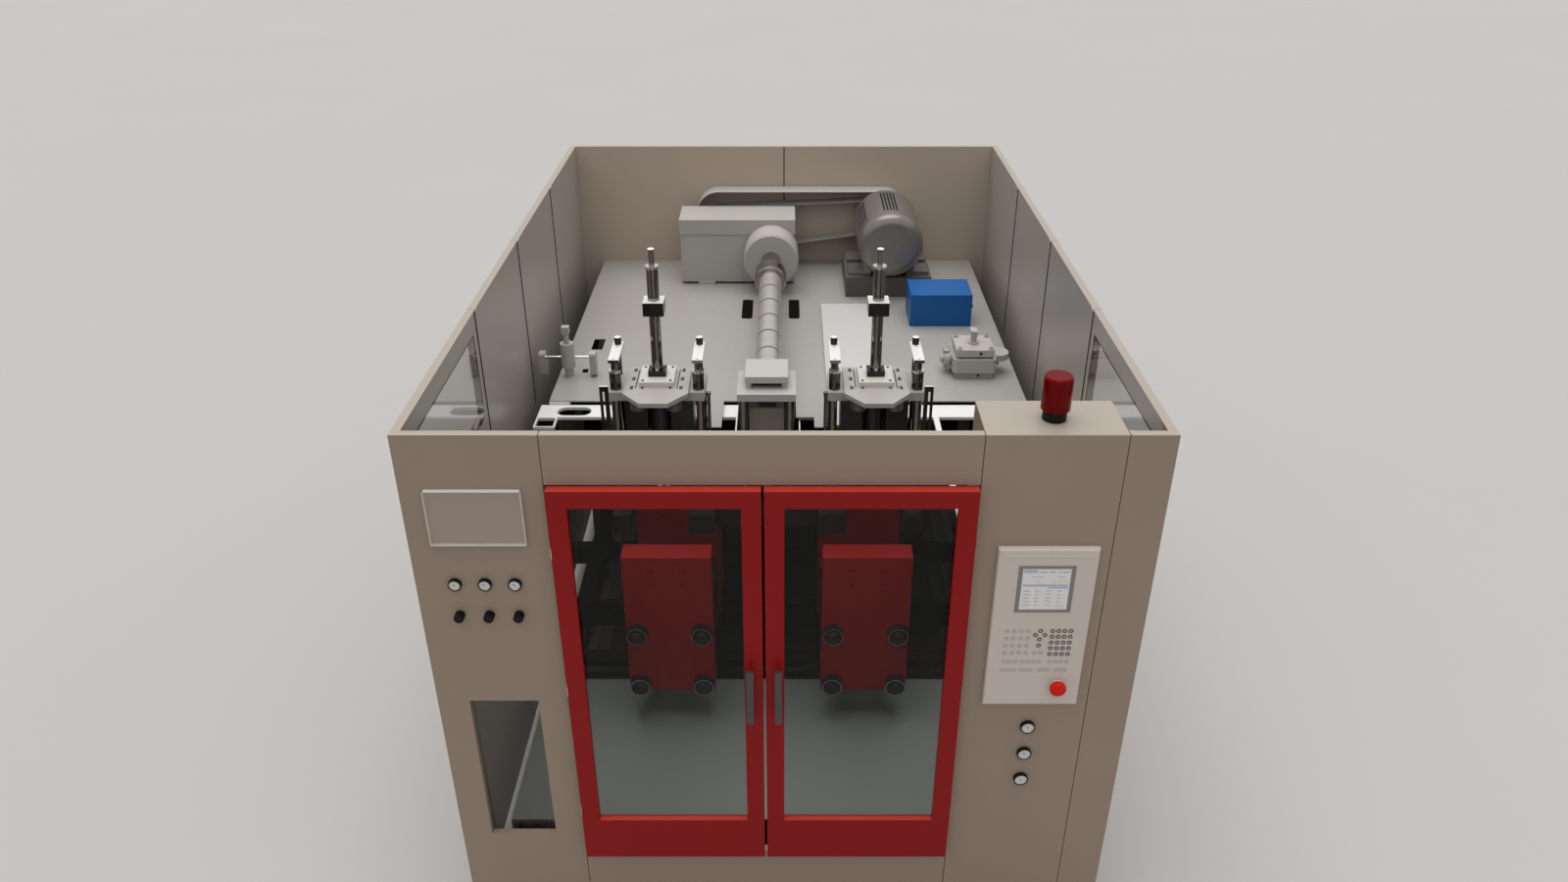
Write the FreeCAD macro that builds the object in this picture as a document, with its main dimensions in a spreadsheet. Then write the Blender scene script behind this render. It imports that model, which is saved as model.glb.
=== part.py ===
import FreeCAD, Part
import Sketcher
import math
import os
import re

# Double-station extrusion blow moulding machine.
# Frame: X to the right, Y from the front face to the back, Z up. The origin is the centre of the
# footprint on the floor. Places along Y are written as the distance behind the front face.

doc = FreeCAD.newDocument("BlowMouldingMachine")
sheet = doc.addObject("Spreadsheet::Sheet", "Sizes")

SIZES = {
    # enclosure
    "enclosure_width": 2600,
    "enclosure_length": 3692,
    "enclosure_top": 2350,
    "panel_bottom": 100,
    "panel_thickness": 32,
    "panel_seam": 3,
    "lap_half": 20,
    "lap_thickness": 3,
    "handle_reach": 84,
    "middle_x": -72,
    "axis_x": -76,
    "door_opening_width": 1470,
    "header_height": 190,
    "lintel_height": 70,
    "lintel_depth": 40,
    "plinth_top": 412,
    "cabinet_width": 473,
    "cabinet_depth": 250,
    "corner_return": 93,
    "corner_return_width": 32,
    "side_seam_front": 1083,
    "side_seam_middle": 1939,
    "side_seam_rear": 2807,
    "side_window_front": 130,
    "side_window_rear": 1004,
    "side_window_drop": 92,
    "side_window_height": 360,
    "side_window_lip": 12,
    "front_window_margin": 115,
    "front_window_height": 704,
    "front_window_drop": 1135,
    "front_window_inset": 119,
    "pane_thickness": 6,
    "pane_overlap": 10,
    # doors
    "door_width": 723,
    "door_gap": 10,
    "door_drop": 196,
    "door_height": 1736,
    "door_proud": 35,
    "door_inset": 5,
    "door_stile": 68,
    "door_bottom_rail": 207,
    "door_top_rail": 67,
    "door_pane_depth": 12,
    "handle_width": 26,
    "handle_length": 241,
    "handle_depth": 16,
    "handle_drop": 935,
    "handle_offset": 52,
    "handle_post": 14,
    "handle_post_inset": 30,
    "hinge_radius": 3.5,
    "hinge_forward": 4.5,
    "hinge_pin_radius": 2,
    "hinge_leaf": 2,
    "hinge_leaf_depth": 24,
    "hinge_knuckle": 45,
    "hinge_spread": 620,
    "hinge_running_gap": 0.05,
    "hinge_end_gap": 0.5,
    # operator panel, gauges, knobs and beacon
    "hmi_width": 352,
    "hmi_height": 700,
    "hmi_drop": 436,
    "hmi_inset": 78,
    "hmi_thickness": 22,
    "hmi_edge_radius": 8,
    "screen_left": 85,
    "screen_width": 182,
    "screen_height": 177,
    "screen_drop": 80,
    "screen_sink": 4,
    "estop_left": 268,
    "estop_drop": 606,
    "estop_radius": 30,
    "estop_thickness": 14,
    "estop_stem_radius": 11,
    "estop_collar_radius": 26,
    "estop_collar": 6,
    "estop_travel": 5,
    "estop_clearance": 0.5,
    "estop_tail": 1,
    "estop_edge": 5,
    "estop_crown": 2,
    "gauge_row_radius": 24,
    "gauge_column_radius": 28,
    "gauge_depth": 16,
    "gauge_stem_radius": 12,
    "gauge_dial_sink": 5,
    "gauge_bezel": 4,
    "gauge_edge": 2,
    "gauge_slope": 1,
    "gauge_pitch": 106,
    "gauge_row_drop": 596,
    "gauge_column_inset": 210,
    "gauge_column_drop": 1260,
    "gauge_column_pitch": 134,
    "knob_drop": 731,
    "knob_radius": 18,
    "knob_depth": 32,
    "knob_stem_radius": 6,
    "knob_flutes": 12,
    "knob_flute_radius": 2.5,
    "knob_clearance": 0.5,
    "knob_edge": 3,
    "knob_flute_end": 8,
    "beacon_inset": 227,
    "beacon_y": 120,
    "beacon_base_radius": 41,
    "beacon_base_height": 40,
    "beacon_base_edge": 3,
    "beacon_lens_radius": 50,
    "beacon_lens_height": 120,
    "beacon_lens_wall": 3,
    "beacon_lens_edge": 6,
    "beacon_lens_seat": 33,
    # welded frame
    "frame_side_gap": 88,
    "frame_tube": 100,
    "frame_top": 1619,
    "plate_drop": 14,
    "bearer_top": 1360,
    "frame_front": 1446,
    "frame_middle": 2480,
    "mouth_wall": 8,
    "mouth_depth": 900,
    "cross_plate_depth": 127,
    "cross_plate_thickness": 20,
    "plate_slot_length": 164,
    "plate_slot_width": 85,
    "plate_slot_inset": 88,
    "plate_slot_middle": 60,
    "plate_break_half": 146,
    "break_rib": 6,
    "break_rib_front": 1400,
    "strut_left": 712,
    "strut_width": 26,
    "front_rail_setback": 118,
    "beam_front": 1060,
    "beam_width": 80,
    "inner_beam_width": 120,
    "outer_beam_offset": 656,
    "inner_beam_offset": 295,
    "head_bearer_front": 1121,
    "head_bearer_rear": 1327,
    "head_bearer_depth": 40,
    "tray_front": 254,
    "tray_rear": 1164,
    "tray_top": 320,
    "tray_sheet": 6,
    "foot_radius": 55,
    "foot_pad": 24,
    "foot_stud_radius": 16,
    "foot_boss_radius": 32,
    # deck
    "deck_thickness": 6,
    "deck_left_inset": 38,
    "deck_front": 1678,
    "tongue_left": -359,
    "tongue_width": 67,
    "tongue_front": 1408,
    "tongue_inner_left": 57,
    "tongue_inner_width": 85,
    "tongue_inner_front": 1508,
    "tongue_right": 146,
    "tongue_right_width": 64,
    "deck_slot_width": 62,
    "deck_slot_front_setback": 955,
    "deck_slot_length": 290,
    "deck_slot_corner": 18,
    "deck_slot_offset": 134,
    "deck_hole_left": -1028,
    "deck_hole_width": 60,
    "deck_hole_front": 2281,
    "deck_hole_length": 141,
    "small_hole_left": -1033,
    "small_hole_width": 30,
    "small_hole_front": 1996,
    "small_hole_length": 46,
    "cover_left": 210,
    "cover_width": 290,
    "cover_front": 1400,
    "cover_rear_setback": 769,
    "cover_height": 15,
    # extruder drive
    "gearbox_left": -615,
    "gearbox_right": 60,
    "gearbox_front_setback": 409,
    "gearbox_rear_setback": 138,
    "gearbox_foot": 15,
    "gearbox_foot_length": 100,
    "gearbox_foot_reach": 14,
    "gearbox_body_height": 295,
    "gearbox_skirt_height": 89,
    "gearbox_skirt_lip": 4,
    "gearbox_lid_height": 89,
    "gearbox_lid_lip": 6,
    "screw_height": 210,
    "thrust_radius": 160,
    "thrust_front_setback": 595,
    "thrust_edge": 10,
    "neck_radius": 57,
    "collar_radius": 88,
    "collar_rear_setback": 802,
    "collar_edge": 5,
    "port_radius": 15,
    "port_offset": 50,
    "port_floor": 45,
    "port_setback": 860,
    "barrel_radius": 50,
    "barrel_start_setback": 928,
    "barrel_front": 1372,
    "barrel_nose_radius": 32,
    "barrel_bore_radius": 30.08,
    "heater_radius": 62,
    "heater_last": 1520,
    "heater_groove": 4,
    "heater_gap": 14,
    "heater_count": 6,
    "heater_first_setback": 1120,
    "screw_radius": 30,
    "screw_root_radius": 19,
    "screw_tip_radius": 7,
    "screw_tip_length": 30,
    "screw_shank": 60,
    "screw_front": 1440,
    "screw_rear_setback": 580,
    "input_axis_offset": -299,
    "input_axis_height": 232,
    "input_pulley_radius": 140,
    "input_shaft_radius": 28,
    "motor_offset": 689,
    "motor_axis_height": 326,
    "motor_radius": 187,
    "motor_front_setback": 698,
    "motor_rear_setback": 190,
    "motor_edge": 55,
    "motor_shaft_radius": 24,
    "motor_shaft_depth": 60,
    "motor_shaft_gap": 1,
    "motor_flange_radius": 150,
    "motor_flange": 22,
    "motor_pulley_radius": 95,
    "motor_foot_width": 110,
    "motor_foot_length": 150,
    "motor_foot_thickness": 22,
    "motor_foot_reach": 235,
    "motor_foot_front": 110,
    "motor_foot_rear": 40,
    "motor_web_inner": 103,
    "motor_web_outer": 148,
    "motor_web_drop": 112,
    "motor_slot_front": 119,
    "motor_slot_length": 343,
    "motor_slot_width": 10,
    "motor_slot_depth": 8,
    "motor_slot_pitch": 5.7,
    "motor_slot_crown": 90,
    "motor_slot_flank": 150,
    "motor_slot_count": 5,
    "motor_base_width": 500,
    "motor_base_front_setback": 625,
    "motor_base_rear_setback": 170,
    "motor_base_height": 121,
    "pulley_front_setback": 115,
    "pulley_width": 104,
    "pulley_rim": 6,
    "pulley_rim_width": 5,
    "pulley_wall": 12,
    "pulley_hub_wall": 14,
    "pulley_dish": 18,
    "belt_thickness": 6,
    "belt_gap": 0.3,
    "guard_front_setback": 128,
    "guard_depth": 122,
    "guard_wall": 4,
    "guard_height": 483,
    "guard_left": -535,
    "guard_right": 749,
    "guard_corner": 136,
    # die head
    "head_platform_width": 255,
    "head_platform_front": 1119,
    "head_platform_rear": 1360,
    "head_platform_bottom": 1905,
    "head_platform_thickness": 33,
    "head_column_radius": 20,
    "head_column_offset": 102,
    "head_cap_width": 187,
    "head_cap_front": 1173,
    "head_cap_thickness": 30,
    "head_cap_foot": 28,
    "head_cap_foot_radius": 11,
    "head_cap_foot_inset": 17,
    "head_pedestal_inset": 32,
    "head_width": 154,
    "head_front": 1163,
    "head_rear": 1325,
    "head_top": 1850,
    "head_bottom": 1470,
    "head_hanger_half": 38,
    "head_hanger_inset": 20,
    "die_radius": 62,
    "die_tip_radius": 40,
    "die_length": 90,
    "die_tip_length": 50,
    "die_tip_wall": 14,
    "die_bore_depth": 40,
    # blow stations
    "station_offset": 476,
    "station_y": 1240,
    "bridge_half_width": 207,
    "bridge_front": 1143,
    "bridge_rear": 1348,
    "bridge_bottom": 1896,
    "bridge_thickness": 40,
    "octagon_half_width": 140,
    "octagon_nose_half": 60,
    "octagon_front": 999,
    "octagon_shoulder": 1096,
    "octagon_rear": 1358,
    "octagon_thickness": 20,
    "octagon_slot_offset": 107,
    "octagon_slot_width": 15,
    "octagon_slot_length": 34,
    "octagon_slot_pitch": 88,
    "octagon_slit_offset": 90,
    "octagon_slit_width": 5,
    "octagon_slit_length": 190,
    "column_radius": 19,
    "column_offset": 185,
    "tower_offset": 180,
    "tower_setback": 6,
    "column_front": 1180,
    "column_rear": 1312,
    "tower_radius": 25,
    "tower_height": 90,
    "tower_collar_radius": 27,
    "tower_collar": 8,
    "tower_rod_radius": 15,
    "tower_rod_top": 2066,
    "tower_bar_width": 46,
    "tower_bar_front": 1163,
    "tower_bar_rear": 1361,
    "tower_bar_thickness": 15,
    "tower_post_radius": 11,
    "tower_post_y": 1334,
    "tower_knob_radius": 15,
    "tower_knob_height": 34,
    "bracket_width": 40,
    "bracket_thickness": 10,
    "bracket_bottom": 1690,
    "bracket_top": 1965,
    "bracket_slot_left": 12,
    "bracket_slot_width": 10,
    "bracket_slot_margin": 25,
    "side_rod_offset": 212,
    "side_rod_y": 1326,
    "side_rod_radius": 8,
    "side_rod_top": 1836,
    "side_rod_cap_radius": 11,
    "side_rod_cap": 12,
    "guide_block_half": 150,
    "guide_block_front": 1283,
    "guide_block_rear": 1345,
    "guide_block_bottom": 1600,
    "cheek_inner": 52,
    "cheek_front": 1205,
    "cheek_bottom": 1700,
    "boss_radius": 34,
    "boss_offset": 78,
    "boss_y": 1104,
    "boss_height": 56,
    "flange_half_width": 75,
    "flange_half_depth": 87,
    "flange_thickness": 24,
    "blow_tube_radius": 24,
    "tube_foot_half": 39,
    "tube_foot_half_depth": 32,
    "tube_foot_height": 27,
    "blow_block_bottom": 2268,
    "blow_block_height": 60,
    "blow_block_half": 44,
    "blow_upper_radius": 25,
    "blow_tube_top": 2480,
    "blow_collar_radius": 29,
    "blow_collar_height": 10,
    "blow_housing_radius": 41,
    "housing_clearance": 1,
    "blow_housing_bottom": 1520,
    "rod_radius": 12,
    "rod_bottom": 1330,
    "rod_top": 2545,
    "rod_cap_radius": 15,
    "rod_cap": 9,
    "rod_cap_edge": 2,
    "pin_radius": 20,
    "pin_point_radius": 14,
    "pin_taper": 14,
    "pin_top": 1420,
    "pin_collar_radius": 32,
    "pin_collar": 16,
    "running_gap": 0.05,
    # clamping units
    "clamp_offset": 450,
    "platen_half_width": 200,
    "platen_bottom": 480,
    "platen_top": 1238,
    "platen_thickness": 108,
    "front_platen_y": 902,
    "moving_platen_y": 1470,
    "rear_platen_y": 1710,
    "rear_platen_thickness": 90,
    "rear_platen_top": 930,
    "tie_bar_radius": 30,
    "tie_bar_offset": 149,
    "tie_bar_low": 527,
    "tie_bar_high": 825,
    "tie_nut_radius": 48,
    "tie_nut": 40,
    "tie_bar_end": 5,
    "platen_slot_half": 36,
    "platen_slot_width": 30,
    "platen_slot_height": 9,
    "platen_slot_depth": 30,
    "platen_slot_top": 1171,
    "platen_slot_pitch": 78,
    "platen_slot_count": 2,
    "carriage_front": 1175,
    "carriage_rear": 1960,
    "carriage_half_width": 190,
    "carriage_bottom": 345,
    "carriage_thickness": 75,
    "bearing_depth": 140,
    "bearing_top": 890,
    "rail_width": 40,
    "rail_height": 30,
    "guide_offset": 120,
    "shoe_width": 84,
    "shoe_length": 110,
    "shoe_gap": 0.3,
    "shoe_skirt": 18,
    "bed_top": 300,
    "bed_beam_front": 1180,
    "bed_beam_rear": 1750,
    "clamp_bore_radius": 50,
    "clamp_barrel_radius": 75,
    "clamp_barrel_length": 410,
    "clamp_cap": 30,
    "clamp_rod_radius": 28,
    "clamp_piston": 40,
    "clamp_piston_start": 2120,
    # boxes and devices on the deck
    "blue_left": 699,
    "blue_width": 338,
    "blue_front_setback": 1066,
    "blue_depth": 249,
    "blue_height": 184,
    "blue_plug_radius": 9,
    "blue_plug": 14,
    "blue_plug_front": 50,
    "blue_plug_pitch": 139,
    "blue_plug_height": 101,
    "valve_side_inset": 222,
    "valve_y": 2022,
    "valve_half_width": 108,
    "valve_half_depth": 108,
    "valve_foot": 34,
    "valve_foot_inset": 14,
    "valve_body_height": 74,
    "valve_lid_height": 37,
    "valve_neck": 10,
    "valve_neck_inset": 24,
    "valve_lid_inset": 13,
    "valve_corner": 24,
    "valve_port_radius": 34,
    "valve_port": 26,
    "valve_port_right": 26,
    "valve_flange_radius": 48,
    "valve_flange": 26,
    "valve_flange_gap": 12,
    "valve_spindle_radius": 21,
    "valve_spindle": 15,
    "valve_lobe_offset": 127,
    "valve_lobe_radius": 56,
    "valve_lobe": 33,
    "valve_stem": 26,
    "valve_stem_height": 40,
    "valve_lever_half": 17,
    "valve_lever_front": 17,
    "valve_lever_rear": 41,
    "valve_lever": 28,
    "valve_hub_radius": 27,
    "valve_hub": 8,
    "valve_bolt_radius": 9,
    "valve_bolt": 7,
    "valve_bolt_inset": 30,
    "pump_side_inset": 90,
    "pump_y": 1968,
    "pump_radius": 34,
    "pump_foot_radius": 22,
    "pump_foot": 48,
    "pump_top": 178,
    "pump_rod_height": 101,
    "pump_rod_radius": 7,
    "pump_rod_half": 142,
    "pump_end_width": 32,
    "pump_end_drop": 98,
    "pump_end_rise": 30,
    "pump_end_depth": 52,
    "pump_end_corner": 16,
    "pump_tip_radius": 14,
    "pump_tip_top": 268,
    "pump_tip_block": 36,
    "tank_left": -800,
    "tank_right": 660,
    "tank_front_gap": 10,
    "tank_rear_setback": 60,
    "tank_height": 520,
    "tank_lid_lip": 12,
    "tank_lid": 12,
    "pump_motor_radius": 125,
    "pump_motor_length": 420,
    "pump_motor_foot": 30,
    "pump_saddle_half": 140,
    "pump_saddle_rise": 40,
}

PLACES = {
    # planes and lines that several pieces share
    "front_y": "-(enclosure_length - handle_reach) / 2",
    "half_width": "enclosure_width / 2",
    "inner_half": "half_width - panel_thickness",
    "opening_left": "middle_x - door_opening_width / 2",
    "opening_right": "middle_x + door_opening_width / 2",
    "cabinet_right": "opening_right + cabinet_width",
    "deck_top": "frame_top + deck_thickness",
    "sill_top": "panel_bottom + frame_tube",
    "plate_top": "frame_top - plate_drop",
    "plate_front": "frame_front + frame_tube",
    "door_top": "enclosure_top - door_drop",
    "door_bottom": "door_top - door_height",
    "screw_z": "deck_top + screw_height",
    "input_x": "axis_x + input_axis_offset",
    "input_z": "deck_top + input_axis_height",
    "motor_x": "axis_x + motor_offset",
    "motor_z": "deck_top + motor_axis_height",
    "platform_top": "head_platform_bottom + head_platform_thickness",
    "bridge_top": "bridge_bottom + bridge_thickness",
    "octagon_top": "bridge_top + octagon_thickness",
    "flange_top": "octagon_top + flange_thickness",
    "block_top": "blow_block_bottom + blow_block_height",
    "carriage_top": "carriage_bottom + carriage_thickness",
    "guide_top": "carriage_top + rail_height",
    "bed_rail_top": "bed_top + rail_height",
    "press_z": "(tie_bar_low + tie_bar_high) / 2",
    "rear_face": "enclosure_length - panel_thickness",
    "frame_rear": "rear_face",
    "gearbox_front": "rear_face - gearbox_front_setback",
    "gearbox_rear": "rear_face - gearbox_rear_setback",
    "thrust_front": "rear_face - thrust_front_setback",
    "collar_rear": "rear_face - collar_rear_setback",
    "port_y": "rear_face - port_setback",
    "motor_front": "rear_face - motor_front_setback",
    "motor_rear": "rear_face - motor_rear_setback",
    "motor_base_front": "rear_face - motor_base_front_setback",
    "motor_base_rear": "rear_face - motor_base_rear_setback",
    "pulley_front": "rear_face - pulley_front_setback",
    "guard_front": "rear_face - guard_front_setback",
    "barrel_start": "rear_face - barrel_start_setback",
    "heater_first": "rear_face - heater_first_setback",
    "screw_rear": "rear_face - screw_rear_setback",
    "tank_rear": "rear_face - tank_rear_setback",
    "blue_front": "rear_face - blue_front_setback",
    "deck_slot_front": "rear_face - deck_slot_front_setback",
    "cover_rear": "rear_face - cover_rear_setback",
    "frame_half_width": "inner_half - frame_side_gap",
    "deck_left": "deck_left_inset - frame_half_width",
    "deck_right": "frame_half_width",
    "pump_x": "pump_side_inset - frame_half_width",
    "valve_x": "frame_half_width - valve_side_inset",
    "bed_rail_half": "frame_half_width - frame_tube",
    "gauge_row_left": "(opening_left - half_width) / 2 - gauge_pitch",
    "tank_front": "frame_middle + tank_front_gap",
    "front_window_width": "opening_left - front_window_margin + half_width - front_window_inset",
    "heater_pitch": "(heater_first - heater_last) / (heater_count - 1)",
    "heater_length": "heater_pitch - heater_gap",
    "beacon_x": "cabinet_right - beacon_inset",
    "gauge_column_x": "cabinet_right - gauge_column_inset",
    "hmi_left": "opening_right + hmi_inset",
}

WORD = re.compile(r"[a-z][a-z_]*")
NODES = []


def fill_sheet():
    """Writes each driving dimension into the sheet under its own alias."""
    for row, (name, value) in enumerate(SIZES.items(), start=1):
        sheet.set("A%d" % row, name)
        sheet.set("B%d" % row, str(value))
        sheet.setAlias("B%d" % row, name)
    doc.recompute()


def formula(text):
    """The sheet expression for a formula written with size names and the names in PLACES."""

    def swap(match):
        word = match.group(0)
        if word in PLACES:
            return "(" + formula(PLACES[word]) + ")"
        if word in SIZES:
            return "Sizes." + word
        return word

    return WORD.sub(swap, str(text))


def bind(thing, name, text):
    thing.setExpression(name, formula(text))


def put(thing, x, y, z, turn=None):
    """Places an object at formulas x, y behind the front face, and z, after an optional turn."""
    if turn is not None:
        thing.Placement = FreeCAD.Placement(FreeCAD.Vector(0, 0, 0), turn)
    bind(thing, "Placement.Base.x", x)
    bind(thing, "Placement.Base.y", "front_y + (%s)" % y)
    bind(thing, "Placement.Base.z", z)
    return thing


ALONG = {
    "x": FreeCAD.Rotation(FreeCAD.Vector(0, 1, 0), 90),
    "y": FreeCAD.Rotation(FreeCAD.Vector(1, 0, 0), -90),
    "z": FreeCAD.Rotation(),
}
TOWARDS_FRONT = FreeCAD.Rotation(FreeCAD.Vector(1, 0, 0), 90)


def block(name, x, y, z):
    """A box between the (low, high) formulas of each axis."""
    box = doc.addObject("Part::Box", name)
    for prop, (low, high) in zip(("Length", "Width", "Height"), (x, y, z)):
        bind(box, prop, "(%s) - (%s)" % (high, low))
    return put(box, x[0], y[0], z[0])


def around(centre, half):
    """The (low, high) pair that lies half each side of a centre."""
    return ("%s - (%s)" % (centre, half), "%s + (%s)" % (centre, half))


def span(low, length):
    """The (low, high) pair that starts at low."""
    return (low, "%s + (%s)" % (low, length))


def rod(name, axis, radius, span_of, centre):
    """A cylinder along an axis, over a (low, high) span, at the two other coordinates."""
    low, high = span_of
    cylinder = doc.addObject("Part::Cylinder", name)
    bind(cylinder, "Radius", radius)
    bind(cylinder, "Height", "(%s) - (%s)" % (high, low))
    first, second = centre
    at = {"x": (low, first, second), "y": (first, low, second), "z": (first, second, low)}[axis]
    return put(cylinder, *at, turn=ALONG[axis])


def joined(name, *things):
    fused = doc.addObject("Part::MultiFuse", name)
    fused.Shapes = list(things)
    fused.Refine = True
    return fused


def less(name, base, *tools):
    """The base with the tools cut out of it."""
    result = doc.addObject("Part::Cut", name)
    result.Base = base
    result.Tool = tools[0] if len(tools) == 1 else joined(name + "_tools", *tools)
    return result


def group(name, *things):
    """Separate solids that share a node."""
    compound = doc.addObject("Part::Compound", name)
    compound.Links = list(things)
    return compound


def node(label, thing):
    thing.Label = label
    NODES.append((label, thing))
    return thing


# ---- sketched bodies ------------------------------------------------------------------------

def new_body(name):
    return doc.addObject("PartDesign::Body", name)


def new_sketch(body, name, role):
    """A sketch on the origin plane of its body that has the given role."""
    sketch = body.newObject("Sketcher::SketchObject", name)
    plane = next(f for f in body.Origin.OriginFeatures if f.Role == role)
    sketch.AttachmentSupport = (plane, [""])
    sketch.MapMode = "FlatFace"
    return sketch


def pin_point(sketch, geometry, end, x, y):
    """Holds a point of the sketch at the formulas x and y from the sketch's origin."""
    for kind, text in (("DistanceX", x), ("DistanceY", y)):
        index = sketch.addConstraint(Sketcher.Constraint(kind, -1, 1, geometry, end, 1.0))
        sketch.setExpression("Constraints[%d]" % index, formula(text))


def outline(sketch, *points):
    """A closed outline of straight sides through points given as pairs of formulas."""
    count = len(points)
    first = sketch.GeometryCount
    ring = [
        FreeCAD.Vector(math.cos(2 * math.pi * k / count), math.sin(2 * math.pi * k / count), 0)
        for k in range(count)
    ]
    for k in range(count):
        sketch.addGeometry(Part.LineSegment(ring[k], ring[(k + 1) % count]), False)
    for k in range(count):
        after = first + (k + 1) % count
        sketch.addConstraint(Sketcher.Constraint("Coincident", first + k, 2, after, 1))
    for k, (x, y) in enumerate(points):
        pin_point(sketch, first + k, 1, x, y)


def rectangle(sketch, x, y):
    outline(sketch, (x[0], y[0]), (x[1], y[0]), (x[1], y[1]), (x[0], y[1]))


def circle(sketch, radius, x, y):
    index = sketch.addGeometry(
        Part.Circle(FreeCAD.Vector(1, 1, 0), FreeCAD.Vector(0, 0, 1), 1), False
    )
    held = sketch.addConstraint(Sketcher.Constraint("Radius", index, 1.0))
    sketch.setExpression("Constraints[%d]" % held, formula(radius))
    pin_point(sketch, index, 3, x, y)


def worth(text):
    """The number a formula comes to, worked out in a spare cell of the sheet."""
    sheet.set("D1", "=" + formula(text))
    sheet.recompute()
    value = float(sheet.get("D1"))
    sheet.clear("D1")
    return value


def slot(sketch, low, high, radius, lying):
    """A round-ended slot between the centres low and high, along one axis of the sketch."""
    if lying:
        shift = ("0", radius)
        turn = -math.pi / 2
    else:
        shift = ("-(%s)" % radius, "0")
        turn = 0
    corners = [
        ("%s + (%s)" % (high[0], shift[0]), "%s + (%s)" % (high[1], shift[1])),
        ("%s + (%s)" % (low[0], shift[0]), "%s + (%s)" % (low[1], shift[1])),
        ("%s - (%s)" % (low[0], shift[0]), "%s - (%s)" % (low[1], shift[1])),
        ("%s - (%s)" % (high[0], shift[0]), "%s - (%s)" % (high[1], shift[1])),
    ]
    spots = [FreeCAD.Vector(worth(x), worth(y), 0) for x, y in corners]
    centres = [FreeCAD.Vector(worth(x), worth(y), 0) for x, y in (high, low)]
    first = sketch.GeometryCount
    up = FreeCAD.Vector(0, 0, 1)
    for k, (start, end) in enumerate(((0, 1), (2, 3))):
        whole = Part.Circle(centres[k], up, worth(radius))
        begin = turn + k * math.pi
        sketch.addGeometry(Part.ArcOfCircle(whole, begin, begin + math.pi), False)
        sketch.addGeometry(Part.LineSegment(spots[start], spots[end]), False)
    for k in range(4):
        sketch.addConstraint(Sketcher.Constraint("Coincident", first + k, 2, first + (k + 1) % 4, 1))
    for line, ends in ((1, (0, 1)), (3, (2, 3))):
        for end, corner in enumerate(ends, start=1):
            hold(sketch, first + line, end, "DistanceX", corners[corner][0])
            hold(sketch, first + line, end, "DistanceY", corners[corner][1])
    for arc, centre in ((0, high), (2, low)):
        if lying:
            hold(sketch, first + arc, 3, "DistanceX", centre[0])
        else:
            hold(sketch, first + arc, 3, "DistanceY", centre[1])


def hold(sketch, geometry, end, kind, text):
    """A distance from the sketch's origin that starts at its own value."""
    constraint = Sketcher.Constraint(kind, -1, 1, geometry, end, worth(text))
    index = sketch.addConstraint(constraint)
    sketch.setExpression("Constraints[%d]" % index, formula(text))


def pad(body, sketch, name, length, midplane=False):
    feature = body.newObject("PartDesign::Pad", name)
    feature.Profile = sketch
    bind(feature, "Length", length)
    feature.Midplane = midplane
    return feature


def pocket(body, sketch, name, length=None, reverse=False):
    """A cut from the sketch, to a depth or through everything."""
    feature = body.newObject("PartDesign::Pocket", name)
    feature.Profile = sketch
    if length is None:
        feature.Type = 1
    else:
        bind(feature, "Length", length)
    feature.Reversed = reverse
    return feature


def turned(name, *points):
    """A body turned about its own Z axis from an outline of (radius, height) formulas."""
    body = new_body(name)
    sketch = new_sketch(body, name + "_profile", "XZ_Plane")
    outline(sketch, *points)
    feature = body.newObject("PartDesign::Revolution", name + "_turn")
    feature.Profile = sketch
    feature.ReferenceAxis = (sketch, ["V_Axis"])
    feature.Angle = 360
    return body


def plate(name, role, draw, length, midplane=False):
    """A body padded from one sketch that draw fills in."""
    body = new_body(name)
    sketch = new_sketch(body, name + "_outline", role)
    draw(sketch)
    pad(body, sketch, name + "_pad", length, midplane)
    return body


def rounded(body, name, radius, wanted):
    """Fillets the edges of the body's tip that wanted(edge) picks."""
    doc.recompute()
    base = body.Tip
    picked = ["Edge%d" % (k + 1) for k, e in enumerate(base.Shape.Edges) if wanted(e)]
    feature = body.newObject("PartDesign::Fillet", name)
    feature.Base = (base, picked)
    bind(feature, "Radius", radius)
    return feature


def size(name):
    """The number in the sheet under an alias."""
    return float(sheet.get(name))


# ---- enclosure ------------------------------------------------------------------------------

FRONT_WINDOW_X = ("-half_width + front_window_inset", "-half_width + front_window_inset + front_window_width")
FRONT_WINDOW_Z = (
    "enclosure_top - front_window_drop - front_window_height",
    "enclosure_top - front_window_drop",
)
GAUGE_ROW = ["gauge_row_left + %d * gauge_pitch" % k for k in range(3)]
GAUGE_COLUMN = ["enclosure_top - gauge_column_drop - %d * gauge_column_pitch" % k for k in range(3)]
GAUGE_ROW_Z = "enclosure_top - gauge_row_drop"
KNOB_Z = "enclosure_top - knob_drop"


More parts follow.
